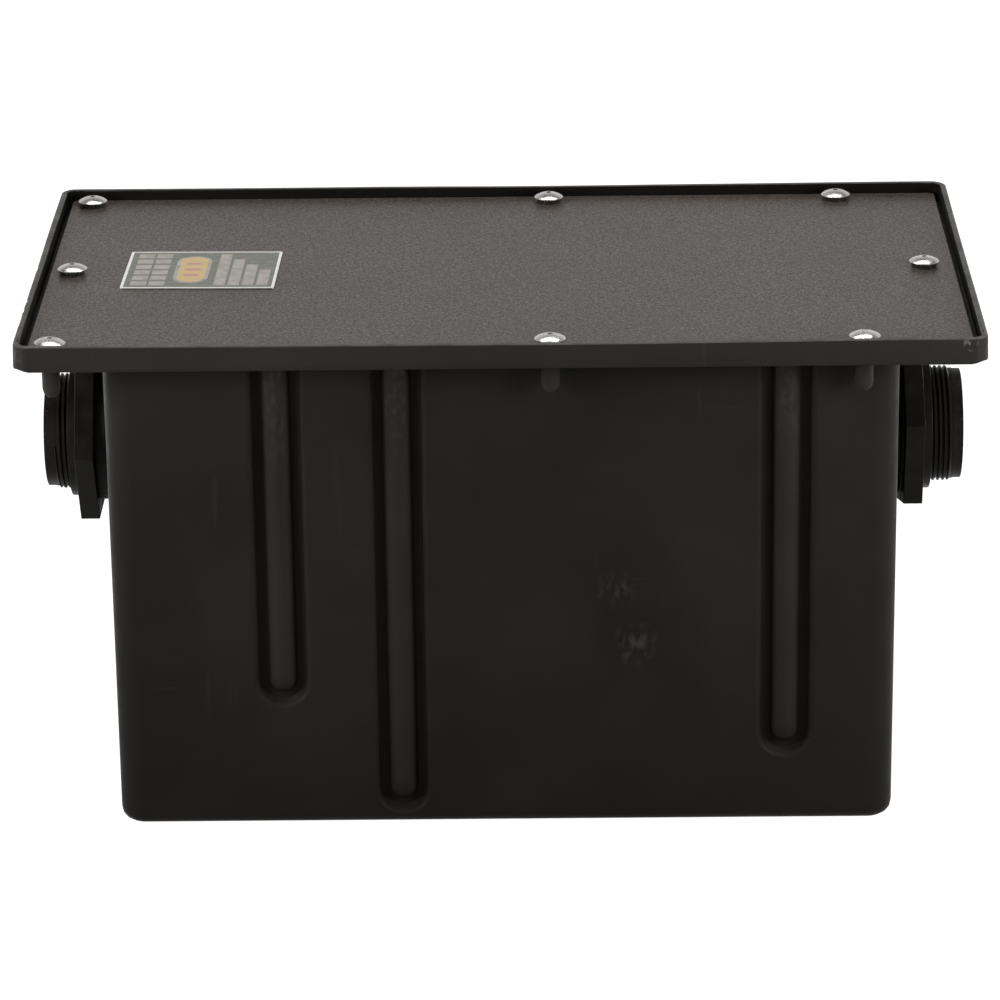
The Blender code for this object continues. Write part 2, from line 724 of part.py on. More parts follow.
def nut_solid(turn):
    """A hexagon nut with a round collar, with its inner face at z = 0."""
    segments = FITTING_SEGMENTS
    top = NUT_THICKNESS + COLLAR_LENGTH
    small = NUT_ACROSS_FLATS - 2 * NUT_CORNER_CUT
    shoulder = top - COLLAR_EDGE_RADIUS
    inner = FITTING_HOLE_RADIUS

    def level(radius, z):
        return [Matrix.Rotation(turn, 3, "Z") @ point for point in circle(radius, z, segments)]

    return stack(
        [
            level(inner, 0),
            hexagon(small, 0, turn, segments),
            hexagon(NUT_ACROSS_FLATS, NUT_CORNER_CUT, turn, segments),
            hexagon(NUT_ACROSS_FLATS, NUT_THICKNESS - NUT_CORNER_CUT, turn, segments),
            hexagon(small, NUT_THICKNESS, turn, segments),
            level(COLLAR_RADIUS, NUT_THICKNESS),
            level(COLLAR_RADIUS, shoulder),
            level(COLLAR_RADIUS - COLLAR_EDGE_RADIUS, top),
            level(inner, top),
        ],
        ring=True,
    )


def make_fitting(name, end, washer_thickness, nut_turn, plastic, rubber):
    """One tank fitting: threaded body, inner gasket, outer washer and nut."""
    segments = FITTING_SEGMENTS
    gasket_out = gasket_face()
    gasket = tube(
        FITTING_HOLE_RADIUS, FITTING_GASKET_RADIUS, gasket_out - FITTING_GASKET_THICKNESS, gasket_out
    )
    washer_in = PAD_HEIGHT + SEAT_GAP
    washer_out = washer_in + washer_thickness
    washer = tube(FITTING_HOLE_RADIUS, WASHER_RADIUS, washer_in, washer_out)
    pieces = (
        (f"{name}_fitting", turned(fitting_profile(), segments), plastic, 0),
        (f"{name}_gasket", turned(gasket, segments), rubber, 0),
        (f"{name}_washer", turned(washer, segments), rubber, 0),
        (f"{name}_nut", nut_solid(nut_turn), plastic, washer_out + SEAT_GAP),
    )
    for piece_name, bm, finish, distance in pieces:
        piece = make_object(piece_name, bm, finish)
        piece.matrix_world = fitting_frame(end, distance)


def make_nameplate(finish):
    """The thin plate on the cover."""
    low = COVER_TOP + SEAT_GAP
    levels = [(low, 0), (low + PLATE_THICKNESS, 0)]
    plate = make_object(
        "nameplate", block(PLATE_LENGTH, PLATE_WIDTH, PLATE_CORNER_RADIUS, levels), finish
    )
    plate.location = (PLATE_X, PLATE_Y, 0)
    plate.rotation_euler = (0, 0, PLATE_TURN)


def main():
    for old in list(bpy.data.objects):
        bpy.data.objects.remove(old, do_unlink=True)

    make_tank(material("black polyethylene", (0.018, 0.017, 0.016), 0.48))
    make_cover(
        material("grained grey cover", (0.12, 0.11, 0.105), 0.62),
        material("cover gasket rubber", (0.03, 0.03, 0.03), 0.8),
    )
    make_screws(
        material("stainless steel", (0.62, 0.60, 0.57), 0.25, 1.0),
        material("brass", (0.60, 0.45, 0.20), 0.35, 1.0),
    )
    make_baffles(material("baffle sheet", (0.03, 0.03, 0.03), 0.5))
    plastic = material("black fitting plastic", (0.012, 0.012, 0.011), 0.4)
    rubber = material("fitting rubber", (0.02, 0.02, 0.02), 0.75)
    make_fitting("inlet", INLET, INLET_WASHER_THICKNESS, INLET_NUT_TURN, plastic, rubber)
    make_fitting("outlet", OUTLET, OUTLET_WASHER_THICKNESS, OUTLET_NUT_TURN, plastic, rubber)
    make_nameplate(material("nameplate foil", (0.30, 0.33, 0.29), 0.4, 0.3))
    bpy.context.view_layer.update()


main()
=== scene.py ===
"""Looks of an under-sink grease trap: its finishes, its threads and nuts, and a studio for its picture.

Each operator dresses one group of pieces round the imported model. Metres, +Z up, in its own frame.
"""

import math

import bmesh
import bpy
from bpy.props import FloatProperty, FloatVectorProperty, IntProperty, PointerProperty
from bpy.types import Operator, Panel, PropertyGroup
from mathutils import Matrix, Vector, noise


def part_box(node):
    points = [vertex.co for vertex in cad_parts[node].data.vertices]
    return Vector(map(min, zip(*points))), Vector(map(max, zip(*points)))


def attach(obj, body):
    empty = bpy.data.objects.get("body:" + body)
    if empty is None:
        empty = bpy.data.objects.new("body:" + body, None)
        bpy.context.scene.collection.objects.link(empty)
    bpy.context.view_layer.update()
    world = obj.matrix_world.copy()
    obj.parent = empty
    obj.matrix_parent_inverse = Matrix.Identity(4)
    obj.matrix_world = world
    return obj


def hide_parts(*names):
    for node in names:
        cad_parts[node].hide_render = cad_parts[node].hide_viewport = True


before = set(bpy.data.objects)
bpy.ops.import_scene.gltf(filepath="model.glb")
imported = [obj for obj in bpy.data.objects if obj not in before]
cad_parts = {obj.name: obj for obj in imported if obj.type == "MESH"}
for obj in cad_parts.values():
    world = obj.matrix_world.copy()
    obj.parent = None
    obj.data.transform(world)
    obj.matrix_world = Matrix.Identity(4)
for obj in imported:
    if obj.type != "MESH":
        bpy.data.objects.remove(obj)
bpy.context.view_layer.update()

bl_info = {
    "name": "Grease trap dressing",
    "version": (1, 0, 0),
    "blender": (4, 5, 0),
    "location": "3D View > Sidebar > Grease trap",
    "description": "Finishes and fine shapes of a moulded grease trap with a screwed cover",
    "category": "Object",
}

ROOT_BODY = "root"
SCREWS = range(1, 9)
TILTED_SCREW = 3
BAFFLES = ("inlet_baffle", "weir_baffle", "outlet_baffle")
# Each scuff is a place, a radius and a strength.
SCUFFS = (
    ((0.0751, -0.1532, 0.1708), 0.016, 0.16),
    ((0.0885, -0.1532, 0.1309), 0.018, 0.2),
    ((0.3075, -0.1850, 0.3525), 0.0055, 4.0),
    ((-0.318, -0.1830, 0.3480), 0.006, 0.5),
)
ENDS = {"inlet": -1, "outlet": 1}
TRIM_CUTS = range(-15, 8)
MERGE_DISTANCE = 1e-6
OVERLAP = 0.0004
OVERSHOOT = 0.01
FULL_TURN = 2 * math.pi
THREAD_FOOT_SHARE = 0.46
THREAD_CREST_SHARE = 0.13
NICK_DROP = 0.6
RAGGED_WAVES, RAGGED_SEED = 190, 2.6
DIP_WAVES, DIP_SEED, SPAN_DIP = 7, 3.1, 0.7
SWAY_WAVES, SWAY_SEED, SWAY_ZONE = 11, 8.7, 0.02
BADGE_X = -0.0065
BOX_CORNER = 0.0004
LIGHT_AIM = Vector((0, 0, 0.2))
SKY_LOW, SKY_HIGH = 0.45, 0.75


def linear(*levels):
    """A colour as it is written on a screen, 0 to 255 a channel, as scene-linear values."""
    shares = [level / 255 for level in levels]
    return tuple(s / 12.92 if s <= 0.04045 else ((s + 0.055) / 1.055) ** 2.4 for s in shares)


def metres(name, description, default):
    return FloatProperty(
        name=name, description=description, default=default, precision=5, subtype="DISTANCE"
    )


def degrees(name, description, default):
    return FloatProperty(
        name=name, description=description, default=math.radians(default), subtype="ANGLE"
    )


def fraction(name, description, default):
    return FloatProperty(name=name, description=description, default=default, min=0, subtype="FACTOR")


def tint(name, description, default):
    return FloatVectorProperty(
        name=name, description=description, default=default, size=3, min=0, max=1, subtype="COLOR"
    )


def watts(name, description, default):
    return FloatProperty(
        name=name, description=description, default=default, subtype="POWER", unit="POWER"
    )


def place_at(name, description, default):
    return FloatVectorProperty(
        name=name, description=description, default=default, size=3, subtype="TRANSLATION", unit="LENGTH"
    )


def sides_of(name, description, default):
    return FloatVectorProperty(
        name=name, description=description, default=default, size=2, subtype="XYZ_LENGTH", unit="LENGTH"
    )


class TankLook(PropertyGroup):
    colour: tint("Plastic", "Colour of the moulded tank", linear(30, 29, 27))
    dust: tint("Dust", "Colour of the film that lies in the grain", linear(62, 59, 56))
    # This colour serves real rubbed marks and scuffs, and also painted highlights on the bosses and ridges
    # and a painted reflection on the lip top.
    wear_and_highlight: tint("Wear", "Colour of rubbed edges and faint scuffs", linear(96, 94, 91))
    # Colour of painted shade: the recess inside the lip, the wall low down, and the shadow under the shelf.
    shade: tint("Painted shade", "Colour where nothing rubs", linear(12, 11, 10))
    end_reach: metres("End reach", "How far the shelf stands out over an end wall", 0.0549)
    side_reach: metres("Side reach", "How far the shelf stands out over a long wall", 0.0325)
    weir_foot: metres("Weir foot", "Height at which the weir's rail ends", 0.026)
    worn_width: metres("Worn width", "How far in from its outline the rim is worn", 0.0042)
    # The pale top of the lip is partly rubbed and partly a painted reflection.
    pale_top: metres("Worn top", "How far down from its top the lip is rubbed", 0.0036)
    rim_depth: metres("Rim depth", "How far below the gasket the rim reaches", 0.006)
    shelf_skin: metres("Shelf skin", "Depth of the shelf that stays level", 0.0015)
    shelf_shadow: metres("Shelf shadow", "How far under the shelf the wall is dark", 0.026)
    shade_top: metres("Shade top", "Height from which the wall darkens downwards", 0.22)
    # The ridge mask carries both the rubbing on the handled ridges and a painted highlight along every ridge.
    ridge_core: metres("Ridge core", "Half the width of a ridge that is rubbed fully", 0.004)
    ridge_reach: metres("Ridge reach", "Distance from its middle where a ridge's wear ends", 0.009)
    handled_from: metres("Handled from", "Height from which hands rub the ridges", 0.25)
    boss_foot: metres("Boss foot", "Height from which the screw bosses catch light", 0.305)
    roughness: fraction("Roughness", "How matt the plastic is", 0.5)
    sheen_level: fraction("Gloss level", "Strength of the mirror part", 0.04)
    grain: metres("Grain", "Depth of the moulding grain", 0.00003)
    ripple: metres("Ripple", "Depth of the slow waves in the walls", 0.00025)
    lip_wave: metres("Lip wave", "How far the trimmed lip dips between its corners", 0.0010)
    lip_sway: metres("Lip sway", "How far the lip wanders in from a straight line", 0.0005)
    lip_step: metres("Lip step", "Spacing of the points that carry the wave", 0.008)
    lip_thickness: metres("Lip", "Thickness of the upright lip", 0.0045)
    lip_corner: metres("Lip corner", "Outer radius of the lip's corners in plan", 0.011)
    moulded_edge: metres("Moulded edge", "Rounding of the lip's outer edge", 0.0012)
    cut_edge: metres("Cut edge", "Rounding of the lip's trimmed inner edge", 0.0003)
    notch_y: metres("Notch", "Place of the nick in the lip over the inlet", -0.082)
    notch_depth: metres("Notch depth", "Depth of that nick", 0.0013)
    nick_reach: metres("Nick reach", "How far in and down the nick and the ragged edge go", 0.0025)
    trim_bite: metres("Trim bite", "How ragged the lip's outer edge is over the inlet", 0.0007)
    corner_lift: metres("Corner lift", "How far the rim's underside rises at its corners", 0.0045)
    corner_reach: metres("Corner reach", "Distance over which it rises", 0.014)


class CoverLook(PropertyGroup):
    colour: tint("Cover", "Middle colour of the grained cover", linear(70, 63, 58))
    dark: tint("Grain dark", "Colour in the pits of the grain", linear(34, 31, 28))
    pale: tint("Grain pale", "Colour on the tops of the grain", linear(112, 102, 95))
    roughness: fraction("Roughness", "How matt the cover is", 0.38)
    grain: metres("Grain", "Depth of the sandy grain", 0.00012)
    grain_size: metres("Grain size", "Width of one grain", 0.0009)


class ScrewLook(PropertyGroup):
    steel: tint("Steel", "Colour of the stainless heads", (0.47, 0.455, 0.44))
    roughness: fraction("Roughness", "How matt the heads are", 0.2)
    drive_width: metres("Drive", "Width of the hexagon socket across its flats", 0.0034)
    drive_depth: metres("Drive depth", "Depth of the socket below the top of the head", 0.0012)
    dome_height: metres("Dome", "Height of the dome above the head's rim", 0.0031)
    rim: metres("Rim", "Height of the upright rim of the head", 0.0006)
    taper: metres("Taper", "Height of the tapered underside of the head", 0.0031)
    bearing_radius: metres("Bearing", "Radius of the head's foot on the cover", 0.0085)
    shank_radius: metres("Shank", "Radius of the shank", 0.003)
    drive_turn: degrees("Drive turn", "Turn from one screw's socket to the next one's", 47)
    tilt: degrees("Tilt", "Lean of the one screw that was driven askew", 2.5)
    dome_steps: IntProperty(name="Dome steps", description="Steps from a head's rim to its top", default=14)
    segments: IntProperty(name="Segments", description="Facets round a head", default=64)


class FittingLook(PropertyGroup):
    colour: tint("Fitting", "Colour of the threaded fittings and nuts", linear(20, 19, 17))
    dust: tint("Dust", "Colour of the reddish dust on the end rings", linear(70, 52, 46))
    roughness: fraction("Roughness", "How matt the fittings are", 0.4)
    thread_radius: metres("Thread radius", "Outer radius of the thread", 0.0401)
    dusty_from: metres("Dusty from", "Distance from the trap's middle where dust begins", 0.311)
    pitch: metres("Pitch", "Distance from one thread to the next", 0.0034)
    hidden_turns: FloatProperty(name="Hidden turns", description="Thread inside the nut", default=1.5)
    depth: metres("Depth", "Height of a thread", 0.0016)
    collar: metres("Collar", "Length of the round collar of the nut", 0.0064)
    collar_radius: metres("Collar radius", "Outer radius of the round collar", 0.0452)
    ring: metres("End ring", "Length of the plain ring at the end of the thread", 0.0054)
    ring_radius: metres("Ring radius", "Outer radius of the plain ring", 0.03815)
    flange: metres("Flange", "Thickness of the flange inside the tank", 0.007)
    bore_radius: metres("Bore radius", "Radius of the way through", 0.026)
    socket_radius: metres("Socket radius", "Radius of the pipe socket", 0.0303)
    socket_depth: metres("Socket depth", "Depth of the pipe socket", 0.030)
    hole_gap: metres("Gap", "Clearance between the thread and the nut", 0.0003)
    edge: metres("Edge", "Rounding of moulded edges", 0.0005)
    inlet_turn: degrees("Inlet turn", "Turn of the inlet's nut from flat down", 0)
    outlet_turn: degrees("Outlet turn", "Turn of the outlet's nut from flat down", -16.4)
    segments: IntProperty(name="Segments", description="Facets round a fitting", default=96)


class PlateLook(PropertyGroup):
    metal: tint("Metal", "Bare metal of the nameplate's edge", (0.78, 0.77, 0.74))
    field: tint("Field", "Ink of the field", linear(104, 108, 100))
    pale: tint("Pale", "Ink of the boxes", linear(172, 166, 159))
    yellow: tint("Yellow", "Ink of the badge", linear(202, 174, 122))
    pink: tint("Pink", "Ink of the bars on the badge", linear(190, 140, 128))
    ink: metres("Ink", "Thickness of one coat of ink", 0.00004)
    border: metres("Border", "Bare metal round the field", 0.0020)
    length: metres("Length", "Length of the plate", 0.1055)
    width: metres("Width", "Width of the plate", 0.0847)
    turn: degrees("Turn", "Turn of the plate on the cover", -1.4)


class InnerLook(PropertyGroup):
    rubber: tint("Rubber", "Colour of the gaskets and washers", linear(34, 33, 32))
    brass: tint("Brass", "Colour of the threaded inserts", (0.55, 0.40, 0.16))
    sheet: tint("Sheet", "Colour of the baffle plates", linear(42, 41, 40))


class StudioLook(PropertyGroup):
    floor_size: metres("Floor", "Side of the floor", 9.0)
    floor: tint("Floor colour", "Colour of the floor", (0.3, 0.3, 0.3))
    floor_lift: fraction("Floor lift", "What the floor adds to itself for the lens", 0.93)
    ambient: fraction("Ambient", "Light from all round", 0.17)
    zenith: fraction("Zenith", "What a mirror sees of the room overhead", 0.3)
    side_power: watts("Side boxes", "Power of each soft box beside the camera", 12)
    side_place: place_at("Side box place", "Place of the right one of them", (1.05, -0.66, 0.55))
    side_sides: sides_of("Side box sides", "Length and width of each of them", (0.6, 0.5))
    top_power: watts("Overhead", "Power of the overhead soft box", 22)
    top_place: place_at("Overhead place", "Place of the overhead soft box", (0, 0.55, 2.1))
    top_sides: sides_of("Overhead sides", "Length and width of the overhead soft box", (1.8, 0.7))
    back_power: watts("Back", "Power of each low soft box behind the trap", 9)
    back_place: place_at("Back box place", "Place of the right one of them", (1.2, 1.0, 0.2))
    back_sides: sides_of("Back box sides", "Length and width of each of them", (0.8, 0.3))
    camera: place_at("Camera", "Place of the camera", (0.03222, -3.17598, 1.32901))
    dip: degrees("Dip", "How far the camera looks down", 19.8899)
    swing: degrees("Swing", "How far the camera looks to the left", 0.6376)
    roll: degrees("Roll", "Turn of the camera about its own axis", -0.7167)
    lens: FloatProperty(name="Lens", description="Focal length in millimetres", default=173.33)
    sensor: FloatProperty(name="Sensor", description="Width of the sensor in millimetres", default=36)


class Recipe:
    """Puts one finish together node by node. Its patterns are in the trap's own coordinates."""

    def __init__(self, name, colour, roughness, metallic=0.0, gloss=0.5):
        self.material = bpy.data.materials.new(name)
        self.material.use_nodes = True
        self.material.diffuse_color = (*colour, 1)
        self.tree = self.material.node_tree
        self.shader = self.tree.nodes["Principled BSDF"]
        self.shader.inputs["Base Color"].default_value = (*colour, 1)
        self.shader.inputs["Roughness"].default_value = roughness
        self.shader.inputs["Metallic"].default_value = metallic
        self.shader.inputs["Specular IOR Level"].default_value = gloss
        self.place = self.add("ShaderNodeTexCoord").outputs["Object"]
        self.normal = None

    def add(self, kind, inputs=None, **settings):
        node = self.tree.nodes.new(kind)
        for key, value in settings.items():
            setattr(node, key, value)
        for key, value in (inputs or {}).items():
            self.feed(node.inputs[key], value)
        return node

    def feed(self, socket, value):
        if isinstance(value, bpy.types.NodeSocket):
            self.tree.links.new(value, socket)
        else:
            socket.default_value = value

    def stretched(self, x, y, z):
        """The coordinates drawn out, so that a pattern runs long where its scale is small."""
        return self.add("ShaderNodeMapping", {"Vector": self.place, "Scale": (x, y, z)}).outputs["Vector"]

    def cloud(self, size, detail=2.0, place=None, distortion=0.0):
        """Smooth noise whose patches are about this wide."""
        inputs = {
            "Vector": place or self.place,
            "Scale": 1 / size,
            "Detail": detail,
            "Distortion": distortion,
        }
        return self.add("ShaderNodeTexNoise", inputs).outputs["Fac"]

    def specks(self, spacing, radius, place=None):
        """One where a small round speck lies, with one speck in about every spacing."""
        inputs = {"Vector": place or self.place, "Scale": 1 / spacing}
        cell = self.add("ShaderNodeTexVoronoi", inputs)
        near = self.band(cell.outputs["Distance"], radius / spacing, 0, 0, 1)
        chosen = self.band(self.red(cell.outputs["Color"]), 0.62, 0.66, 0, 1)
        return self.product(near, chosen)

    def red(self, colour):
        return self.add("ShaderNodeSeparateColor", {"Color": colour}).outputs["Red"]

    def axis(self, name):
        """One coordinate in the trap's own frame."""
        return self.add("ShaderNodeSeparateXYZ", {"Vector": self.place}).outputs[name]

    def spot(self, centre, radius):
        """One at a point, fading to nought at a distance from it."""
        away = self.add("ShaderNodeVectorMath", {0: self.place, 1: centre}, operation="DISTANCE")
        return self.band(away.outputs["Value"], radius * 0.3, radius, 1, 0)

    def upward(self):
        """One where a surface faces up, nought where it faces sideways or down."""
        normal = self.add("ShaderNodeNewGeometry").outputs["Normal"]
        z = self.add("ShaderNodeSeparateXYZ", {"Vector": normal}).outputs["Z"]
        return self.band(z, 0.3, 0.95, 0, 1)

    def band(self, value, low, high, to_low, to_high):
        """A value moved from one range to another and held inside it."""
        inputs = {
            "Value": value,
            "From Min": low,
            "From Max": high,
            "To Min": to_low,
            "To Max": to_high,
        }
        return self.add("ShaderNodeMapRange", inputs).outputs["Result"]

    def past(self, value, start, fade):
        """Nought up to a place, and one a little past it."""
        return self.band(value, start, start + fade, 0, 1)

    def combined(self, operation, first, second):
        return self.add("ShaderNodeMath", {0: first, 1: second}, operation=operation).outputs[0]

    def product(self, first, *others):
        """Shares multiplied together."""
        for other in others:
            first = self.combined("MULTIPLY", first, other)
        return first

    def either(self, first, second):
        return self.combined("MAXIMUM", first, second)

    def outside(self, share):
        """What a share leaves of one."""
        return self.combined("SUBTRACT", 1.0, share)

    def away(self, value):
        """A distance from nought, whichever side it is on."""
        return self.combined("ABSOLUTE", value, 0)

    def mixed(self, share, first, second):
        """A colour between two others."""
        node = self.add("ShaderNodeMix", data_type="RGBA")
        self.feed(node.inputs["Factor"], share)
        for socket, colour in ((node.inputs[6], first), (node.inputs[7], second)):
            self.feed(socket, colour if isinstance(colour, bpy.types.NodeSocket) else (*colour, 1))
        return node.outputs[2]

    def toned(self, colour, tone, pattern, low, high, most):
        """A colour made darker or paler where a pattern is strong."""
        other = tuple(min(channel * tone, 1) for channel in colour)
        return self.mixed(self.band(pattern, low, high, 0, most), colour, other)

    def colour(self, value):
        self.feed(self.shader.inputs["Base Color"], value)

    def rough(self, value):
        self.feed(self.shader.inputs["Roughness"], value)

    def relief(self, height, depth, strength=1.0):
        """Lay one more pattern of bumps over those before."""
        inputs = {"Height": height, "Distance": depth, "Strength": strength}
        if self.normal:
            inputs["Normal"] = self.normal
        self.normal = self.add("ShaderNodeBump", inputs).outputs["Normal"]
        self.feed(self.shader.inputs["Normal"], self.normal)


def near_baffles(recipe, look, height):
    """One on the ridges and rails that hold the baffles, down to the foot of each."""
    rails = 0.0
    for node in BAFFLES:
        low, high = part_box(node)
        away = recipe.away(recipe.combined("SUBTRACT", recipe.axis("X"), (low.x + high.x) / 2))
        foot = max(low.z, look.weir_foot)
        across = recipe.band(away, look.ridge_core, look.ridge_reach, 1, 0)
        rails = recipe.either(rails, recipe.product(across, recipe.past(height, foot, 0.006)))
    return rails


def painted_shade_shares(recipe, look, height, outline, overhang):
    """Where shade is painted on the tank: dark in the recess inside the lip, darker towards the bottom, and a
    painted shadow under the shelf.
    """
    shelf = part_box("cover_gasket")[0].z
    # Painted shade on the inner faces of the lip above the cover.
    recess = recipe.product(recipe.past(height, shelf - 0.0008, 0.0004), recipe.outside(outline))
    # Painted shade: the wall darkens towards the floor.
    lower = recipe.band(height, 0, look.shade_top, 0.4, 0)
    # Painted shadow on the wall under the shelf.
    shadow = recipe.band(height, shelf - look.shelf_shadow, shelf - look.rim_depth, 0, 0.6)
    return recipe.product(recess, 0.75), lower, recipe.product(shadow, recipe.outside(overhang))


def wear_and_highlight_shares(recipe, look, height, outline, overhang):
    """Where the tank is paler: rubbing on the handled ridges and the rim, painted highlights on the bosses
    and along the ridges, and the top of its lip, rubbed pale with a painted reflection.
    """
    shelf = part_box("cover_gasket")[0].z
    lip_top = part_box("tank")[1].z - look.pale_top
    on_rim = recipe.past(height, shelf - look.rim_depth, 0.0005)
    below_rim = recipe.outside(on_rim)
    rails = recipe.product(near_baffles(recipe, look, height), below_rim)
    bosses = recipe.product(overhang, recipe.past(height, look.boss_foot, 0.005), below_rim)
    blotches = recipe.cloud(0.0045, 5.0, recipe.stretched(1, 1, 0.6))
    handled = recipe.product(rails, recipe.past(height, look.handled_from, 0.08))
    # Patches of the pale lip top: rubbing, with a painted reflection.
    rubbed = recipe.band(recipe.cloud(0.006, 4.0, recipe.stretched(0.3, 0.3, 1)), 0.34, 0.66, 0.4, 1.0)
    return (
        recipe.product(handled, recipe.band(blotches, 0.45, 0.72, 0, 0.24)),
        # Painted highlight on the screw bosses.
        recipe.product(bosses, 0.1),
        # Painted highlight along the ridges that hold the baffles.
        recipe.product(rails, 0.05),
        recipe.product(on_rim, outline, 0.07),
        # Lip top rubbed pale, with a painted reflection of the room.
        recipe.product(recipe.past(height, lip_top, 0.0008), recipe.upward(), rubbed),
    )


def tank_finish(look):
    """Black moulded plastic: slow ripples, fine grain, a film of dust and rubbed edges, with painted shade
    low down, in the lip's recess and under the shelf, and painted highlights on the bosses, ridges and lip
    top.
    """
    recipe = Recipe("moulded tank plastic", look.colour, look.roughness, gloss=look.sheen_level)
    mottle = recipe.band(recipe.cloud(0.09, detail=4.0), 0.35, 0.65, 0, 0.16)
    body = recipe.mixed(mottle, look.colour, look.dust)
    film = recipe.product(recipe.upward(), recipe.band(recipe.cloud(0.03, 5.0), 0.3, 0.7, 0.1, 0.6))
    body = recipe.mixed(film, body, look.dust)

    drawn = recipe.cloud(0.006, 3.0, recipe.stretched(1, 1, 0.06), 0.6)
    wiped = recipe.cloud(0.006, 3.0, recipe.stretched(0.07, 1, 1), 0.4)
    scuff = recipe.either(recipe.past(drawn, 0.64, 0.12), recipe.past(wiped, 0.65, 0.12))
    scuff = recipe.product(scuff, recipe.past(recipe.cloud(0.07, 2.0), 0.56, 0.14))
    body = recipe.mixed(recipe.product(scuff, 0.12), body, look.wear_and_highlight)

    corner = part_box("tank")[1]
    height = recipe.axis("Z")
    outline = 0.0
    overhang = 0.0
    for axis, reach, shelf_reach in (("X", corner.x, look.end_reach), ("Y", corner.y, look.side_reach)):
        away = recipe.away(recipe.axis(axis))
        outline = recipe.either(outline, recipe.past(away, reach - look.worn_width, 0.0006))
        overhang = recipe.either(overhang, recipe.past(away, reach - shelf_reach + 0.0008, 0.0004))
    # Painted shade: the recess inside the lip, the wall low down, and the shadow under the shelf.
    for share in painted_shade_shares(recipe, look, height, outline, overhang):
        body = recipe.mixed(share, body, look.shade)
    # Rubbed marks, with painted highlights on the bosses and ridges and a painted reflection on the lip top.
    for share in wear_and_highlight_shares(recipe, look, height, outline, overhang):
        body = recipe.mixed(share, body, look.wear_and_highlight)

    smear = recipe.past(recipe.cloud(0.004, 4.0, recipe.stretched(1, 1, 0.5)), 0.45, 0.2)
    for centre, radius, strength in SCUFFS:
        mark = recipe.product(recipe.spot(centre, radius), recipe.product(smear, strength))
        body = recipe.mixed(mark, body, look.wear_and_highlight)
    body = recipe.mixed(recipe.product(recipe.specks(0.03, 0.0004), 0.35), body, look.wear_and_highlight)
    recipe.colour(body)

    matt = recipe.band(recipe.cloud(0.012, 4.0), 0.3, 0.7, look.roughness - 0.06, look.roughness + 0.08)
    recipe.rough(recipe.combined("ADD", matt, recipe.product(scuff, 0.15)))
    recipe.relief(recipe.cloud(0.05, detail=1.0), look.ripple, 0.6)
    recipe.relief(recipe.cloud(0.0016, detail=3.0), look.grain)
    return recipe.material


def cover_finish(look):
    """Grey plate with a sandy grain that is darker in its pits, and faint wiped patches."""
    recipe = Recipe("grained cover", look.colour, look.roughness, gloss=0.1)
    sand = recipe.cloud(look.grain_size, detail=3.0)
    flecks = recipe.cloud(look.grain_size * 2.6, detail=2.0)
    both = recipe.combined("ADD", recipe.product(sand, 0.62), recipe.product(flecks, 0.38))
    body = recipe.mixed(recipe.band(both, 0.36, 0.5, 0, 1), look.dark, look.colour)
    body = recipe.mixed(recipe.band(both, 0.5, 0.66, 0, 1), body, look.pale)
    clouds = recipe.band(recipe.cloud(0.11, 3.0, distortion=0.5), 0.35, 0.68, 0, 0.2)
    body = recipe.mixed(clouds, body, look.dark)
    hairs = recipe.band(recipe.cloud(0.004, 2.0, recipe.stretched(0.05, 1, 1), 0.8), 0.7, 0.76, 0, 0.35)
    body = recipe.mixed(hairs, body, look.dark)
    recipe.colour(body)
    recipe.rough(recipe.band(sand, 0.3, 0.7, look.roughness + 0.08, look.roughness - 0.08))
    recipe.relief(both, look.grain)
    return recipe.material


def steel_finish(look):
    """Bright stainless steel with turning marks, small dents and a few dull patches."""
    recipe = Recipe("stainless steel", look.steel, look.roughness, metallic=1.0)
    patches = recipe.cloud(0.0035, 4.0)
    recipe.colour(recipe.toned(look.steel, 0.62, patches, 0.45, 0.7, 0.7))
    recipe.rough(recipe.band(patches, 0.35, 0.7, look.roughness - 0.07, look.roughness + 0.14))
    recipe.relief(recipe.cloud(0.0012, 3.0), 0.00009)
    recipe.relief(recipe.cloud(0.0005, 1.0), 0.000012)
    return recipe.material


def fitting_finish(look):
    """Injection-moulded black plastic with flow marks, and a little reddish dust on its outer ends."""
    recipe = Recipe("fitting plastic", look.colour, look.roughness, gloss=0.05)
    flow = recipe.cloud(0.02, 4.0, distortion=1.2)
    body = recipe.toned(look.colour, 2.0, flow, 0.4, 0.75, 0.6)
    ends = recipe.past(recipe.away(recipe.axis("X")), look.dusty_from, 0.002)
    speckle = recipe.band(recipe.cloud(0.0016, 3.0), 0.56, 0.7, 0, 0.55)
    recipe.colour(recipe.mixed(recipe.product(ends, speckle), body, look.dust))
    recipe.rough(recipe.band(flow, 0.3, 0.7, look.roughness - 0.08, look.roughness + 0.12))
    recipe.relief(recipe.cloud(0.0011, 3.0), 0.00003)
    return recipe.material


def rubber_finish(look):
    """Matt rubber with a fine nap."""
    recipe = Recipe("gasket rubber", look.rubber, 0.78, gloss=0.25)
    nap = recipe.cloud(0.0007, 3.0)
    recipe.colour(recipe.toned(look.rubber, 1.9, nap, 0.4, 0.7, 0.6))
    recipe.rough(recipe.band(nap, 0.3, 0.7, 0.7, 0.88))
    recipe.relief(nap, 0.00006)
    return recipe.material


def brass_finish(look):
    """Turned brass, dulled in patches."""
    recipe = Recipe("insert brass", look.brass, 0.35, metallic=1.0)
    dull = recipe.cloud(0.003, 4.0)
    recipe.colour(recipe.toned(look.brass, 0.5, dull, 0.4, 0.7, 0.8))
    recipe.rough(recipe.band(dull, 0.3, 0.7, 0.28, 0.5))
    recipe.relief(recipe.cloud(0.0004, 1.0, recipe.stretched(0.2, 0.2, 1)), 0.00002)
    return recipe.material


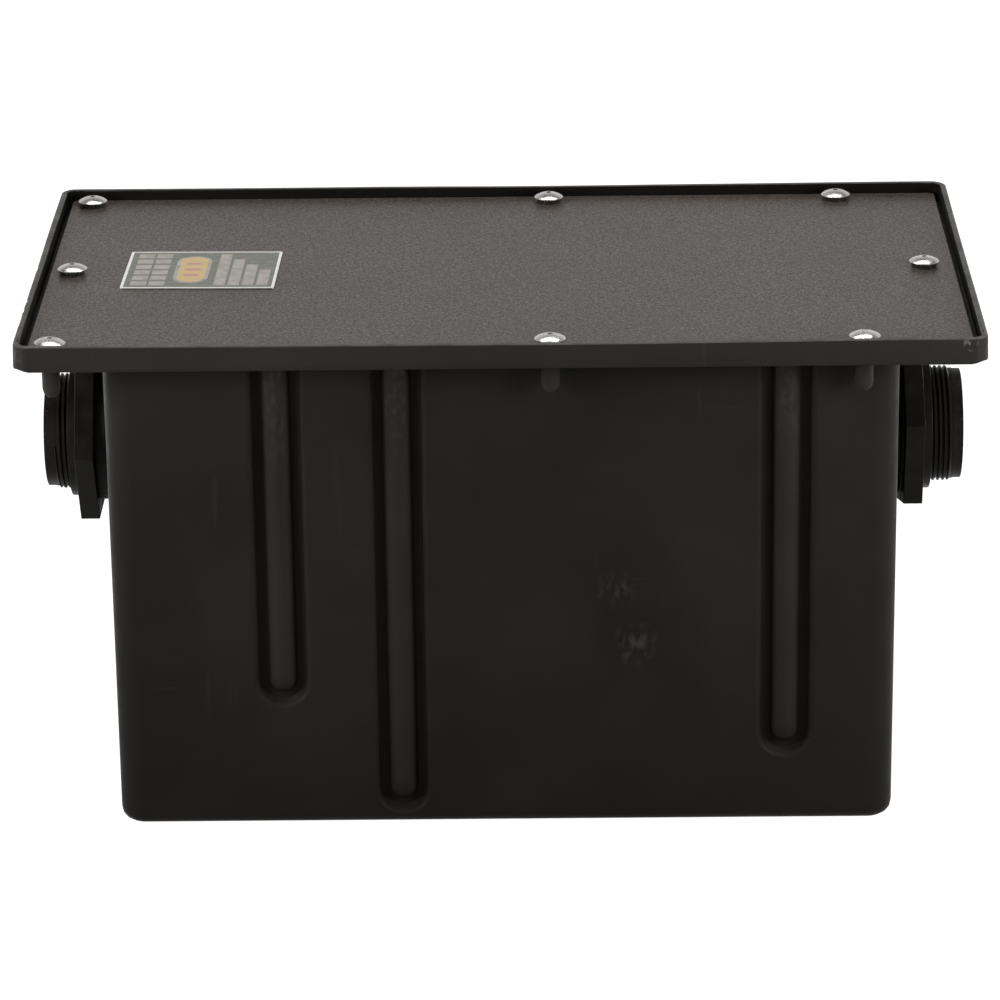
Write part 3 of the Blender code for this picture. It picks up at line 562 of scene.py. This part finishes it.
def sheet_finish(look):
    """Smooth plastic sheet with saw and handling marks."""
    recipe = Recipe("baffle sheet", look.sheet, 0.45, gloss=0.4)
    marks = recipe.cloud(0.003, 3.0, recipe.stretched(1, 1, 0.08))
    recipe.colour(recipe.toned(look.sheet, 1.7, marks, 0.5, 0.75, 0.5))
    recipe.rough(recipe.band(marks, 0.35, 0.7, 0.4, 0.58))
    recipe.relief(marks, 0.00003)
    return recipe.material


def foil_finish(look):
    """Rolled metal of the nameplate, brushed along its length."""
    recipe = Recipe("nameplate metal", look.metal, 0.3, metallic=1.0)
    brushed = recipe.cloud(0.0006, 2.0, recipe.stretched(0.06, 1, 1))
    recipe.colour(recipe.toned(look.metal, 0.8, brushed, 0.4, 0.7, 0.7))
    recipe.rough(recipe.band(brushed, 0.3, 0.7, 0.24, 0.42))
    recipe.relief(brushed, 0.00001)
    return recipe.material


def ink_finish(name, colour, faded):
    """Screen-printed ink, thin enough for its mesh to show, and a little faded."""
    recipe = Recipe(name, colour, 0.45, gloss=0.06)
    fade = recipe.cloud(0.006, 4.0)
    mesh = recipe.cloud(0.0007, 2.0)
    body = recipe.mixed(recipe.band(fade, 0.4, 0.75, 0, 0.35), colour, faded)
    body = recipe.mixed(recipe.band(mesh, 0.45, 0.7, 0, 0.22), body, faded)
    recipe.colour(body)
    recipe.rough(recipe.band(fade, 0.3, 0.7, 0.36, 0.55))
    recipe.relief(mesh, 0.00001)
    return recipe.material


def cleaned(bm):
    """Join the points that coincide, and turn every face outwards."""
    bmesh.ops.remove_doubles(bm, verts=bm.verts, dist=MERGE_DISTANCE)
    bmesh.ops.recalc_face_normals(bm, faces=bm.faces)
    return bm


def object_from(name, bm):
    """Put a bmesh into the scene."""
    mesh = bpy.data.meshes.new(name)
    bm.to_mesh(mesh)
    bm.free()
    made = bpy.data.objects.new(name, mesh)
    bpy.context.scene.collection.objects.link(made)
    return made


def piece_from(name, bm, finish, replaced=(), smooth_degrees=35):
    """Turn a bmesh into a piece of the trap that stands in for some of its nodes."""
    piece = object_from(name, cleaned(bm))
    piece.data.materials.append(finish)
    shade(piece, smooth_degrees)
    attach(piece, ROOT_BODY)
    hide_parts(*replaced)
    return piece


def shade(piece, smooth_degrees):
    """Smooth shading that keeps the corners, with flat faces left flat."""
    piece.data.shade_smooth()
    piece.data.set_sharp_from_angle(angle=math.radians(smooth_degrees))
    weighted = piece.modifiers.new("flat faces stay flat", "WEIGHTED_NORMAL")
    weighted.keep_sharp = True


def dress(node, finish):
    """Give a CAD node its finish."""
    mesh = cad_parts[node].data
    mesh.materials.clear()
    mesh.materials.append(finish)


def spun(profile, segments):
    """Spin a closed outline of (radius, height) points round Z. Points on the axis close it there."""
    bm = bmesh.new()
    corners = [bm.verts.new((radius, 0, height)) for radius, height in profile]
    for start, end in zip(corners, corners[1:] + corners[:1]):
        if start.co.x > 0 or end.co.x > 0:
            bm.edges.new((start, end))
    outline = list(bm.verts) + list(bm.edges)
    bmesh.ops.spin(
        bm, geom=outline, cent=(0, 0, 0), axis=(0, 0, 1), angle=FULL_TURN, steps=segments, use_merge=True
    )
    return cleaned(bm)


def soften(bm, width, corner_degrees=40, segments=2):
    """Round every edge that turns by more than an angle."""
    sharp = [
        edge
        for edge in bm.edges
        if edge.is_manifold and edge.calc_face_angle() > math.radians(corner_degrees)
    ]
    round_off(bm, sharp, width, segments, "EDGES")


def round_off(bm, geom, width, segments, affect):
    bmesh.ops.bevel(
        bm, geom=geom, offset=width, segments=segments, profile=0.5, affect=affect,
        clamp_overlap=True, material=-1,
    )


def shaped(bm, steps):
    """Add or take away solids in turn, and give back the result as a bmesh."""
    blank = object_from("blank", cleaned(bm))
    tools = []
    for operation, other in steps:
        tool = object_from("tool", cleaned(other))
        boolean = blank.modifiers.new(operation, "BOOLEAN")
        boolean.operation = operation
        boolean.solver = "EXACT"
        boolean.object = tool
        tools.append(tool)
    bpy.context.view_layer.update()
    graph = bpy.context.evaluated_depsgraph_get()
    made = bmesh.new()
    made.from_mesh(blank.evaluated_get(graph).to_mesh())
    if not made.faces:
        raise RuntimeError("a solid came out empty")
    for helper in [blank, *tools]:
        bpy.data.objects.remove(helper, do_unlink=True)
    return made


def from_outside(place, corner, radius):
    """How far a point lies in from the rim's outline, and the way out from there."""
    x = max(abs(place.x) - (corner.x - radius), 0)
    y = max(abs(place.y) - (corner.y - radius), 0)
    if x and y:
        away = math.hypot(x, y)
        return radius - away, Vector((math.copysign(x / away, place.x), math.copysign(y / away, place.y), 0))
    ends = corner.x - abs(place.x) < corner.y - abs(place.y)
    if ends:
        return corner.x - abs(place.x), Vector((math.copysign(1, place.x), 0, 0))
    return corner.y - abs(place.y), Vector((0, math.copysign(1, place.y), 0))


def trimmed(place, corner, look):
    """Where a point of the lip's rounded inner edge lies once that edge is cut nearly sharp."""
    depth, out = from_outside(place, corner, look.lip_corner)
    across = look.lip_thickness - depth
    below = corner.z - place.z
    if not 0 <= across < look.moulded_edge or below > look.moulded_edge:
        return place
    turn = math.atan2(max(look.moulded_edge - below, 0), look.moulded_edge - across)
    share = look.cut_edge / look.moulded_edge
    new_across = look.cut_edge * (1 - math.cos(turn))
    new_below = look.cut_edge * (1 - math.sin(turn))
    if below > look.moulded_edge * 0.98:
        new_below = below * share
    return place + out * (new_across - across) * -1 + Vector((0, 0, below - new_below))


def lifted(place, corner, look):
    """Where a point of the rim's underside lies once it rises towards the corners."""
    away = math.hypot(corner.x - abs(place.x), corner.y - abs(place.y))
    share = max(0.0, 1 - away / look.corner_reach)
    return place + Vector((0, 0, look.corner_lift * share * share))


def nicked(place, corner, look):
    """Where a point of the lip's outer edge over the inlet lies once the edge is nicked and ragged."""
    if place.x > look.nick_reach - corner.x or place.z < corner.z - look.nick_reach:
        return place
    notch = look.notch_depth * max(0.0, 1 - abs(place.y - look.notch_y) / (look.lip_step * 0.5))
    bite = noise.noise(Vector((0, place.y * RAGGED_WAVES, RAGGED_SEED)))
    ragged = look.trim_bite * max(0.0, bite) if place.y < 0 else 0
    return place + Vector((notch + ragged, 0, -NICK_DROP * (notch + ragged)))


def wandered(place, low, corner, wave, sway):
    """Where a point of the trimmed lip lies once the lip dips and leans in a little."""
    x, y, z = place
    share = max(0.0, min(1.0, (z - low) / (corner.z - low)))
    dip = wave * (0.5 + 0.5 * noise.noise(Vector((x * DIP_WAVES, y * DIP_WAVES, DIP_SEED))))
    span = math.cos(math.pi / 2 * min(1, abs(x) / corner.x)) ** 2 * wave * SPAN_DIP
    along = sway * (0.5 + 0.5 * noise.noise(Vector((x * SWAY_WAVES, y * SWAY_WAVES, SWAY_SEED))))
    lean_x = -math.copysign(along * share, x) if abs(x) > corner.x - SWAY_ZONE else 0
    lean_y = -math.copysign(along * share, y) if abs(y) > corner.y - SWAY_ZONE else 0
    return Vector((x + lean_x, y + lean_y, z - (dip + span) * share**2))


def cut_lip(bm, low, place, across):
    """Cut the lip across at one plane, so that it has points to bend at."""
    lip = [face for face in bm.faces if max(vert.co.z for vert in face.verts) > low]
    edges = {edge for face in lip for edge in face.edges}
    verts = {vert for face in lip for vert in face.verts}
    bmesh.ops.bisect_plane(
        bm, geom=[*verts, *edges, *lip], dist=MERGE_DISTANCE, plane_co=place, plane_no=across
    )


def lay_cuts(bm, step, low, corner):
    """Cut the lip across at even steps."""
    for axis, reach in ((Vector((1, 0, 0)), corner.x), (Vector((0, 1, 0)), corner.y)):
        count = int(reach * 2 / step)
        for number in range(1, count):
            cut_lip(bm, low, axis * (number * 2 * reach / count - reach), axis)


class TRAP_OT_tank(Operator):
    """Dress the moulded tank, with the small waves of its trimmed lip"""

    bl_idname = "grease_trap.tank"
    bl_label = "Tank"

    def execute(self, context):
        look = context.scene.trap_tank
        bm = bmesh.new()
        bm.from_mesh(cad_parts["tank"].data)
        bmesh.ops.remove_doubles(bm, verts=bm.verts, dist=MERGE_DISTANCE)
        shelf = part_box("cover_gasket")[0].z
        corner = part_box("tank")[1]
        lay_cuts(bm, look.lip_step, shelf, corner)
        for number in TRIM_CUTS:
            place = Vector((0, look.notch_y + number * look.lip_step * 0.5, 0))
            cut_lip(bm, shelf, place, Vector((0, 1, 0)))
        for vert in bm.verts:
            if shelf - look.rim_depth < vert.co.z < shelf - look.shelf_skin:
                vert.co = lifted(vert.co, corner, look)
            if vert.co.z > shelf:
                edge = nicked(trimmed(vert.co, corner, look), corner, look)
                vert.co = wandered(edge, shelf, corner, look.lip_wave, look.lip_sway)
        piece_from("moulded_tank", bm, tank_finish(look), ["tank"])
        return {"FINISHED"}


class TRAP_OT_cover(Operator):
    """Dress the grained cover plate"""

    bl_idname = "grease_trap.cover"
    bl_label = "Cover"

    def execute(self, context):
        dress("cover_plate", cover_finish(context.scene.trap_cover))
        return {"FINISHED"}


class TRAP_OT_screws(Operator):
    """Make the stainless screws with their domed heads and hexagon sockets"""

    bl_idname = "grease_trap.screws"
    bl_label = "Screws"

    def execute(self, context):
        look = context.scene.trap_screws
        finish = steel_finish(look)
        for number in SCREWS:
            node = f"cover_screw_{number}"
            low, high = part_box(node)
            bm = screw_solid(look, low, high)
            middle = (low + high) / 2
            turn = Matrix.Rotation(look.drive_turn * number, 4, "Z")
            if number == TILTED_SCREW:
                foot = Matrix.Translation((0, 0, high.z - look.dome_height - look.rim))
                turn = foot @ Matrix.Rotation(look.tilt, 4, "Y") @ foot.inverted() @ turn
            bmesh.ops.transform(bm, matrix=Matrix.Translation((middle.x, middle.y, 0)) @ turn, verts=bm.verts)
            piece_from(f"domed_screw_{number}", bm, finish, [node], 30)
        return {"FINISHED"}


def screw_solid(look, low, high):
    """One screw on the Z axis, at the heights of its CAD node."""
    head_radius = (high.x - low.x) / 2
    rim_high = high.z - look.dome_height
    rim_low = rim_high - look.rim
    foot = rim_low - look.taper
    ball = (head_radius**2 + look.dome_height**2) / (2 * look.dome_height)
    reach = math.asin(head_radius / ball)
    turns = [reach * (1 - step / look.dome_steps) for step in range(look.dome_steps + 1)]
    dome = [(max(ball * math.sin(turn), 0), high.z - ball * (1 - math.cos(turn))) for turn in turns]
    profile = [
        (0, low.z),
        (look.shank_radius * 0.7, low.z),
        (look.shank_radius, low.z + look.shank_radius * 0.3),
        (look.shank_radius, foot),
        (look.bearing_radius, foot),
        (look.bearing_radius + (head_radius - look.bearing_radius) * 0.3, foot + look.taper * 0.6),
        (head_radius - look.rim * 0.4, rim_low - look.rim * 0.3),
        (head_radius, rim_low + look.rim * 0.3),
        (head_radius, rim_high - look.rim * 0.3),
        (head_radius - look.rim * 0.3, rim_high + look.rim * 0.15),
    ]
    solid = spun(profile + dome[2:], look.segments)
    socket = hexagon_from(look.drive_width, 2 * look.drive_depth, Matrix.Translation((0, 0, high.z)))
    return shaped(solid, [("DIFFERENCE", socket)])


def hexagon_from(width, depth, place):
    """A hexagonal bar, this wide across its flats."""
    bm = bmesh.new()
    corner = width / math.sqrt(3)
    bmesh.ops.create_cone(
        bm, cap_ends=True, segments=6, radius1=corner, radius2=corner, depth=depth, matrix=place
    )
    return bm


class TRAP_OT_fittings(Operator):
    """Make the threaded fittings and their hexagon nuts"""

    bl_idname = "grease_trap.fittings"
    bl_label = "Fittings and nuts"

    def execute(self, context):
        look = context.scene.trap_fittings
        finish = fitting_finish(look)
        for name, end in ENDS.items():
            turn = look.inlet_turn if end < 0 else look.outlet_turn
            place = fitting_frame(name, end)
            fitting = fitting_solid(look, name, end)
            bmesh.ops.transform(fitting, matrix=place, verts=fitting.verts)
            replaced = [f"{name}_fitting"]
            piece_from(f"{name}_threaded_fitting", fitting, finish, replaced, 40)
            nut = nut_solid(look, name, end, turn)
            bmesh.ops.transform(nut, matrix=place, verts=nut.verts)
            piece_from(f"{name}_hexagon_nut", nut, finish, [f"{name}_nut"], 30)
        return {"FINISHED"}


def fitting_frame(name, end):
    """A frame on the fitting's axis with +Z out of the tank, from the middle of the tank."""
    low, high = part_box(f"{name}_fitting")
    return Matrix.Translation((0, 0, (low.z + high.z) / 2)) @ Matrix.Rotation(math.pi / 2 * end, 4, "Y")


def span_of(node, end):
    """How far in and out a piece of a fitting reaches, measured out from the middle of the tank."""
    low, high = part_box(node)
    return (low.x, high.x) if end > 0 else (-high.x, -low.x)


def fitting_solid(look, name, end):
    """Flange, threaded tube, end ring and pipe socket in one solid round Z."""
    back, outer = span_of(f"{name}_fitting", end)
    flange_radius = (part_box(f"{name}_fitting")[1].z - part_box(f"{name}_fitting")[0].z) / 2
    nut_outer = span_of(f"{name}_nut", end)[1]
    crest = look.thread_radius
    root = crest - look.depth
    low = nut_outer - look.hidden_turns * look.pitch
    ring_low = outer - look.ring
    stop = outer - look.socket_depth
    outline = [
        (look.bore_radius, back),
        (flange_radius, back),
        (flange_radius, back + look.flange),
        (crest, back + look.flange),
        (crest, low),
        (root, low),
        (root, ring_low),
        (look.ring_radius, ring_low),
        (look.ring_radius, outer),
        (look.socket_radius, outer),
        (look.socket_radius, stop),
        (look.bore_radius, stop),
    ]
    body = spun(outline, look.segments)
    soften(body, look.edge)
    ridge = thread_ridge(look, root, crest, low, ring_low - OVERLAP)
    return shaped(body, [("UNION", ridge)])


def thread_ridge(look, root, crest, low, high):
    """One thread wound up round Z, fading out at its upper end."""
    bm = bmesh.new()
    sunk = root - OVERLAP
    half_foot = look.pitch * THREAD_FOOT_SHARE
    half_crest = look.pitch * THREAD_CREST_SHARE
    first = low + half_foot
    section = [(sunk, -half_foot), (crest, -half_crest), (crest, half_crest), (sunk, half_foot)]
    bm.faces.new([bm.verts.new((radius, 0, first + rise)) for radius, rise in section])
    turns = (high - low - 2 * half_foot) / look.pitch
    steps = int(turns * look.segments)
    bmesh.ops.spin(
        bm,
        geom=list(bm.verts) + list(bm.edges) + list(bm.faces),
        cent=(0, 0, 0),
        axis=(0, 0, 1),
        angle=turns * FULL_TURN,
        steps=steps,
        dvec=(0, 0, turns * look.pitch / steps),
    )
    for vert in bm.verts:
        radius = math.hypot(vert.co.x, vert.co.y)
        if radius > sunk + MERGE_DISTANCE:
            fade = min(1, max(0, high - half_foot + half_crest - vert.co.z) / (look.pitch * 0.5))
            wanted = sunk + (crest - sunk) * fade
            vert.co.x *= wanted / radius
            vert.co.y *= wanted / radius
    return bm


def nut_solid(look, name, end, turn):
    """Hexagon nut with sharp corners and a round collar, round Z."""
    inner, outer = span_of(f"{name}_nut", end)
    thickness = outer - inner - look.collar
    low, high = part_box("inlet_nut")
    middle = inner + thickness / 2
    place = Matrix.Translation((0, 0, middle)) @ Matrix.Rotation(turn, 4, "Z")
    hexagon = hexagon_from(high.z - low.z, thickness, place)
    soften(hexagon, look.edge, segments=3)
    radius = look.collar_radius
    collar = spun([(0, middle), (radius, middle), (radius, outer), (0, outer)], look.segments)
    soften(collar, look.edge * 1.6)
    hole_radius = look.thread_radius + look.hole_gap
    under = inner - OVERSHOOT
    over = outer + OVERSHOOT
    hole = spun([(0, under), (hole_radius, under), (hole_radius, over), (0, over)], look.segments)
    return shaped(hexagon, [("UNION", collar), ("DIFFERENCE", hole)])


class TRAP_OT_nameplate(Operator):
    """Print a plain design on the nameplate: a grid of boxes, bars and a badge"""

    bl_idname = "grease_trap.nameplate"
    bl_label = "Nameplate"

    def execute(self, context):
        look = context.scene.trap_plate
        dress("nameplate", foil_finish(look))
        low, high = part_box("nameplate")
        middle = (low + high) / 2
        place = Matrix.Translation((middle.x, middle.y, high.z)) @ Matrix.Rotation(look.turn, 4, "Z")
        field_length = look.length - 2 * look.border
        field_width = look.width - 2 * look.border
        grey = tuple(look.field)
        pale = tuple(look.pale)
        coats = (
            ("plate_field", [(0, 0, field_length, field_width, 0.001)], 0, grey, pale),
            ("plate_boxes", box_shapes(), 1, pale, grey),
            ("plate_badge_edge", [(BADGE_X, 0, 0.024, 0.062, 0.012)], 1, pale, grey),
            ("plate_badge", [(BADGE_X, 0, 0.019, 0.057, 0.0095)], 2, tuple(look.yellow), pale),
            ("plate_badge_bars", bar_shapes(), 3, tuple(look.pink), pale),
        )
        for name, shapes, level, colour, faded in coats:
            bm = coat(shapes, level * look.ink, look.ink)
            bmesh.ops.transform(bm, matrix=place, verts=bm.verts)
            finish = ink_finish(name.replace("_", " ") + " ink", colour, faded)
            piece_from(name, bm, finish)
        return {"FINISHED"}


def box_shapes():
    """The pale boxes: a ladder at the left and columns of falling height at the right."""
    ladder = [
        (-0.041 + 0.0125 * column, -0.0315 + 0.0126 * row, 0.0108, 0.0094, BOX_CORNER)
        for column in range(2)
        for row in range(6)
    ]
    low_end = -0.0362
    heights = (0.0724, 0.0600, 0.0480, 0.0360)
    columns = [
        (0.0145 + 0.0098 * number, low_end + tall / 2, 0.0078, tall, BOX_CORNER)
        for number, tall in enumerate(heights)
    ]
    return ladder + columns


def bar_shapes():
    """Three bars across the badge."""
    return [(BADGE_X, 0.013 * number, 0.011, 0.0052, 0.0024) for number in (-1, 0, 1)]


def coat(shapes, low, thickness):
    """Flat shapes with round corners, each (x, y, length, width, corner radius)."""
    whole = bmesh.new()
    for x, y, length, width, corner in shapes:
        bm = bmesh.new()
        size = Matrix.Diagonal((length, width, 1, 1))
        bmesh.ops.create_grid(
            bm, x_segments=1, y_segments=1, size=0.5, matrix=Matrix.Translation((x, y, low)) @ size
        )
        round_off(bm, list(bm.verts), corner, 8, "VERTICES")
        made = bmesh.ops.extrude_face_region(bm, geom=list(bm.faces))["geom"]
        moved = [item for item in made if isinstance(item, bmesh.types.BMVert)]
        bmesh.ops.translate(bm, verts=moved, vec=(0, 0, thickness))
        bmesh.ops.recalc_face_normals(bm, faces=bm.faces)
        mesh = bpy.data.meshes.new("shape")
        bm.to_mesh(mesh)
        bm.free()
        whole.from_mesh(mesh)
        bpy.data.meshes.remove(mesh)
    return whole


class TRAP_OT_inner(Operator):
    """Dress the gaskets, washers, inserts and baffle plates"""

    bl_idname = "grease_trap.inner"
    bl_label = "Gaskets, inserts and baffles"

    def execute(self, context):
        look = context.scene.trap_inner
        rubber = rubber_finish(look)
        brass = brass_finish(look)
        sheet = sheet_finish(look)
        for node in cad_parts:
            if node.endswith(("gasket", "washer")):
                dress(node, rubber)
            elif node.endswith("baffle"):
                dress(node, sheet)
            elif node.startswith("screw_insert"):
                dress(node, brass)
        return {"FINISHED"}


class TRAP_OT_studio(Operator):
    """Set up the floor, the light and the camera"""

    bl_idname = "grease_trap.studio"
    bl_label = "Studio"

    def execute(self, context):
        look = context.scene.trap_studio
        lay_floor(look)
        light_world(context.scene, look)
        mirrored = Vector((-1, 1, 1))
        place_light("left box", look.side_power, look.side_sides, look.side_place * mirrored)
        place_light("right box", look.side_power, look.side_sides, look.side_place)
        place_light("overhead", look.top_power, look.top_sides, look.top_place)
        place_light("back left box", look.back_power, look.back_sides, look.back_place * mirrored)
        place_light("back right box", look.back_power, look.back_sides, look.back_place)
        place_camera(context.scene, look)
        context.scene.view_settings.view_transform = "Standard"
        return {"FINISHED"}


def seen_share(tree):
    """One for the rays that show a background: from the lens, in a mirror and through glass."""
    path = tree.nodes.new("ShaderNodeLightPath").outputs
    total = path["Is Camera Ray"]
    for name in ("Is Glossy Ray", "Is Transmission Ray"):
        larger = tree.nodes.new("ShaderNodeMath")
        larger.operation = "MAXIMUM"
        tree.links.new(total, larger.inputs[0])
        tree.links.new(path[name], larger.inputs[1])
        total = larger.outputs[0]
    return total


def lay_floor(look):
    bm = bmesh.new()
    bmesh.ops.create_grid(bm, x_segments=8, y_segments=8, size=look.floor_size / 2)
    floor = object_from("floor", bm)
    finish = bpy.data.materials.new("pale floor")
    finish.use_nodes = True
    tree = finish.node_tree
    shader = tree.nodes["Principled BSDF"]
    shader.inputs["Base Color"].default_value = (*look.floor, 1)
    shader.inputs["Roughness"].default_value = 0.9
    shader.inputs["Specular IOR Level"].default_value = 0
    shader.inputs["Emission Color"].default_value = (1, 1, 1, 1)
    lift = tree.nodes.new("ShaderNodeMath")
    lift.operation = "MULTIPLY"
    tree.links.new(seen_share(tree), lift.inputs[0])
    lift.inputs[1].default_value = look.floor_lift
    tree.links.new(lift.outputs[0], shader.inputs["Emission Strength"])
    floor.data.materials.append(finish)


def light_world(scene, look):
    """White round the horizon where it is seen, a dim room overhead in mirrors, and soft light elsewhere."""
    world = bpy.data.worlds.new("studio")
    scene.world = world
    world.use_nodes = True
    tree = world.node_tree
    background = tree.nodes["Background"]
    background.inputs["Color"].default_value = (1, 1, 1, 1)
    direction = tree.nodes.new("ShaderNodeTexCoord").outputs["Generated"]
    split = tree.nodes.new("ShaderNodeSeparateXYZ")
    tree.links.new(direction, split.inputs["Vector"])
    room = tree.nodes.new("ShaderNodeMapRange")
    tree.links.new(split.outputs["Z"], room.inputs["Value"])
    room.inputs["From Min"].default_value = SKY_LOW
    room.inputs["From Max"].default_value = SKY_HIGH
    room.inputs["To Min"].default_value = 1.0
    room.inputs["To Max"].default_value = look.zenith
    strength = tree.nodes.new("ShaderNodeMapRange")
    tree.links.new(seen_share(tree), strength.inputs["Value"])
    strength.inputs["To Min"].default_value = look.ambient
    tree.links.new(room.outputs["Result"], strength.inputs["To Max"])
    tree.links.new(strength.outputs["Result"], background.inputs["Strength"])


def place_light(name, power, sides, place):
    """A soft box that faces the trap."""
    light = bpy.data.lights.new(name, "AREA")
    light.shape = "RECTANGLE"
    light.size, light.size_y = sides
    light.energy = power
    lamp = bpy.data.objects.new(name, light)
    bpy.context.scene.collection.objects.link(lamp)
    lamp.location = place
    lamp.visible_camera = False
    aim = LIGHT_AIM - lamp.location
    lamp.rotation_euler = aim.to_track_quat("-Z", "Y").to_euler()


def place_camera(scene, look):
    camera = bpy.data.cameras.new("camera")
    camera.lens = look.lens
    camera.sensor_width = look.sensor
    camera.clip_end = 50
    holder = bpy.data.objects.new("camera", camera)
    scene.collection.objects.link(holder)
    holder.matrix_world = (
        Matrix.Translation(look.camera)
        @ Matrix.Rotation(look.swing, 4, "Z")
        @ Matrix.Rotation(math.pi / 2 - look.dip, 4, "X")
        @ Matrix.Rotation(look.roll, 4, "Z")
    )
    scene.camera = holder


OPERATORS = (
    TRAP_OT_studio,
    TRAP_OT_tank,
    TRAP_OT_cover,
    TRAP_OT_screws,
    TRAP_OT_fittings,
    TRAP_OT_nameplate,
    TRAP_OT_inner,
)
LOOKS = {
    "trap_tank": TankLook,
    "trap_cover": CoverLook,
    "trap_screws": ScrewLook,
    "trap_fittings": FittingLook,
    "trap_plate": PlateLook,
    "trap_inner": InnerLook,
    "trap_studio": StudioLook,
}


class TRAP_PT_panel(Panel):
    """The pieces of the grease trap, with a button for each"""

    bl_idname = "TRAP_PT_panel"
    bl_label = "Grease trap"
    bl_space_type = "VIEW_3D"
    bl_region_type = "UI"
    bl_category = "Grease trap"

    def draw(self, context):
        for operator in OPERATORS:
            self.layout.operator(operator.bl_idname)
        for name, look in LOOKS.items():
            box = self.layout.box()
            for setting in look.__annotations__:
                box.prop(getattr(context.scene, name), setting)


def register():
    for made in (*LOOKS.values(), *OPERATORS, TRAP_PT_panel):
        bpy.utils.register_class(made)
    for name, look in LOOKS.items():
        setattr(bpy.types.Scene, name, PointerProperty(type=look))


def unregister():
    for name in LOOKS:
        delattr(bpy.types.Scene, name)
    for made in (TRAP_PT_panel, *OPERATORS, *reversed(LOOKS.values())):
        bpy.utils.unregister_class(made)


def main():
    register()
    bpy.ops.grease_trap.studio()
    bpy.ops.grease_trap.tank()
    bpy.ops.grease_trap.cover()
    bpy.ops.grease_trap.screws()
    bpy.ops.grease_trap.fittings()
    bpy.ops.grease_trap.nameplate()
    bpy.ops.grease_trap.inner()
    bpy.context.view_layer.update()


if __name__ == "__main__":
    main()
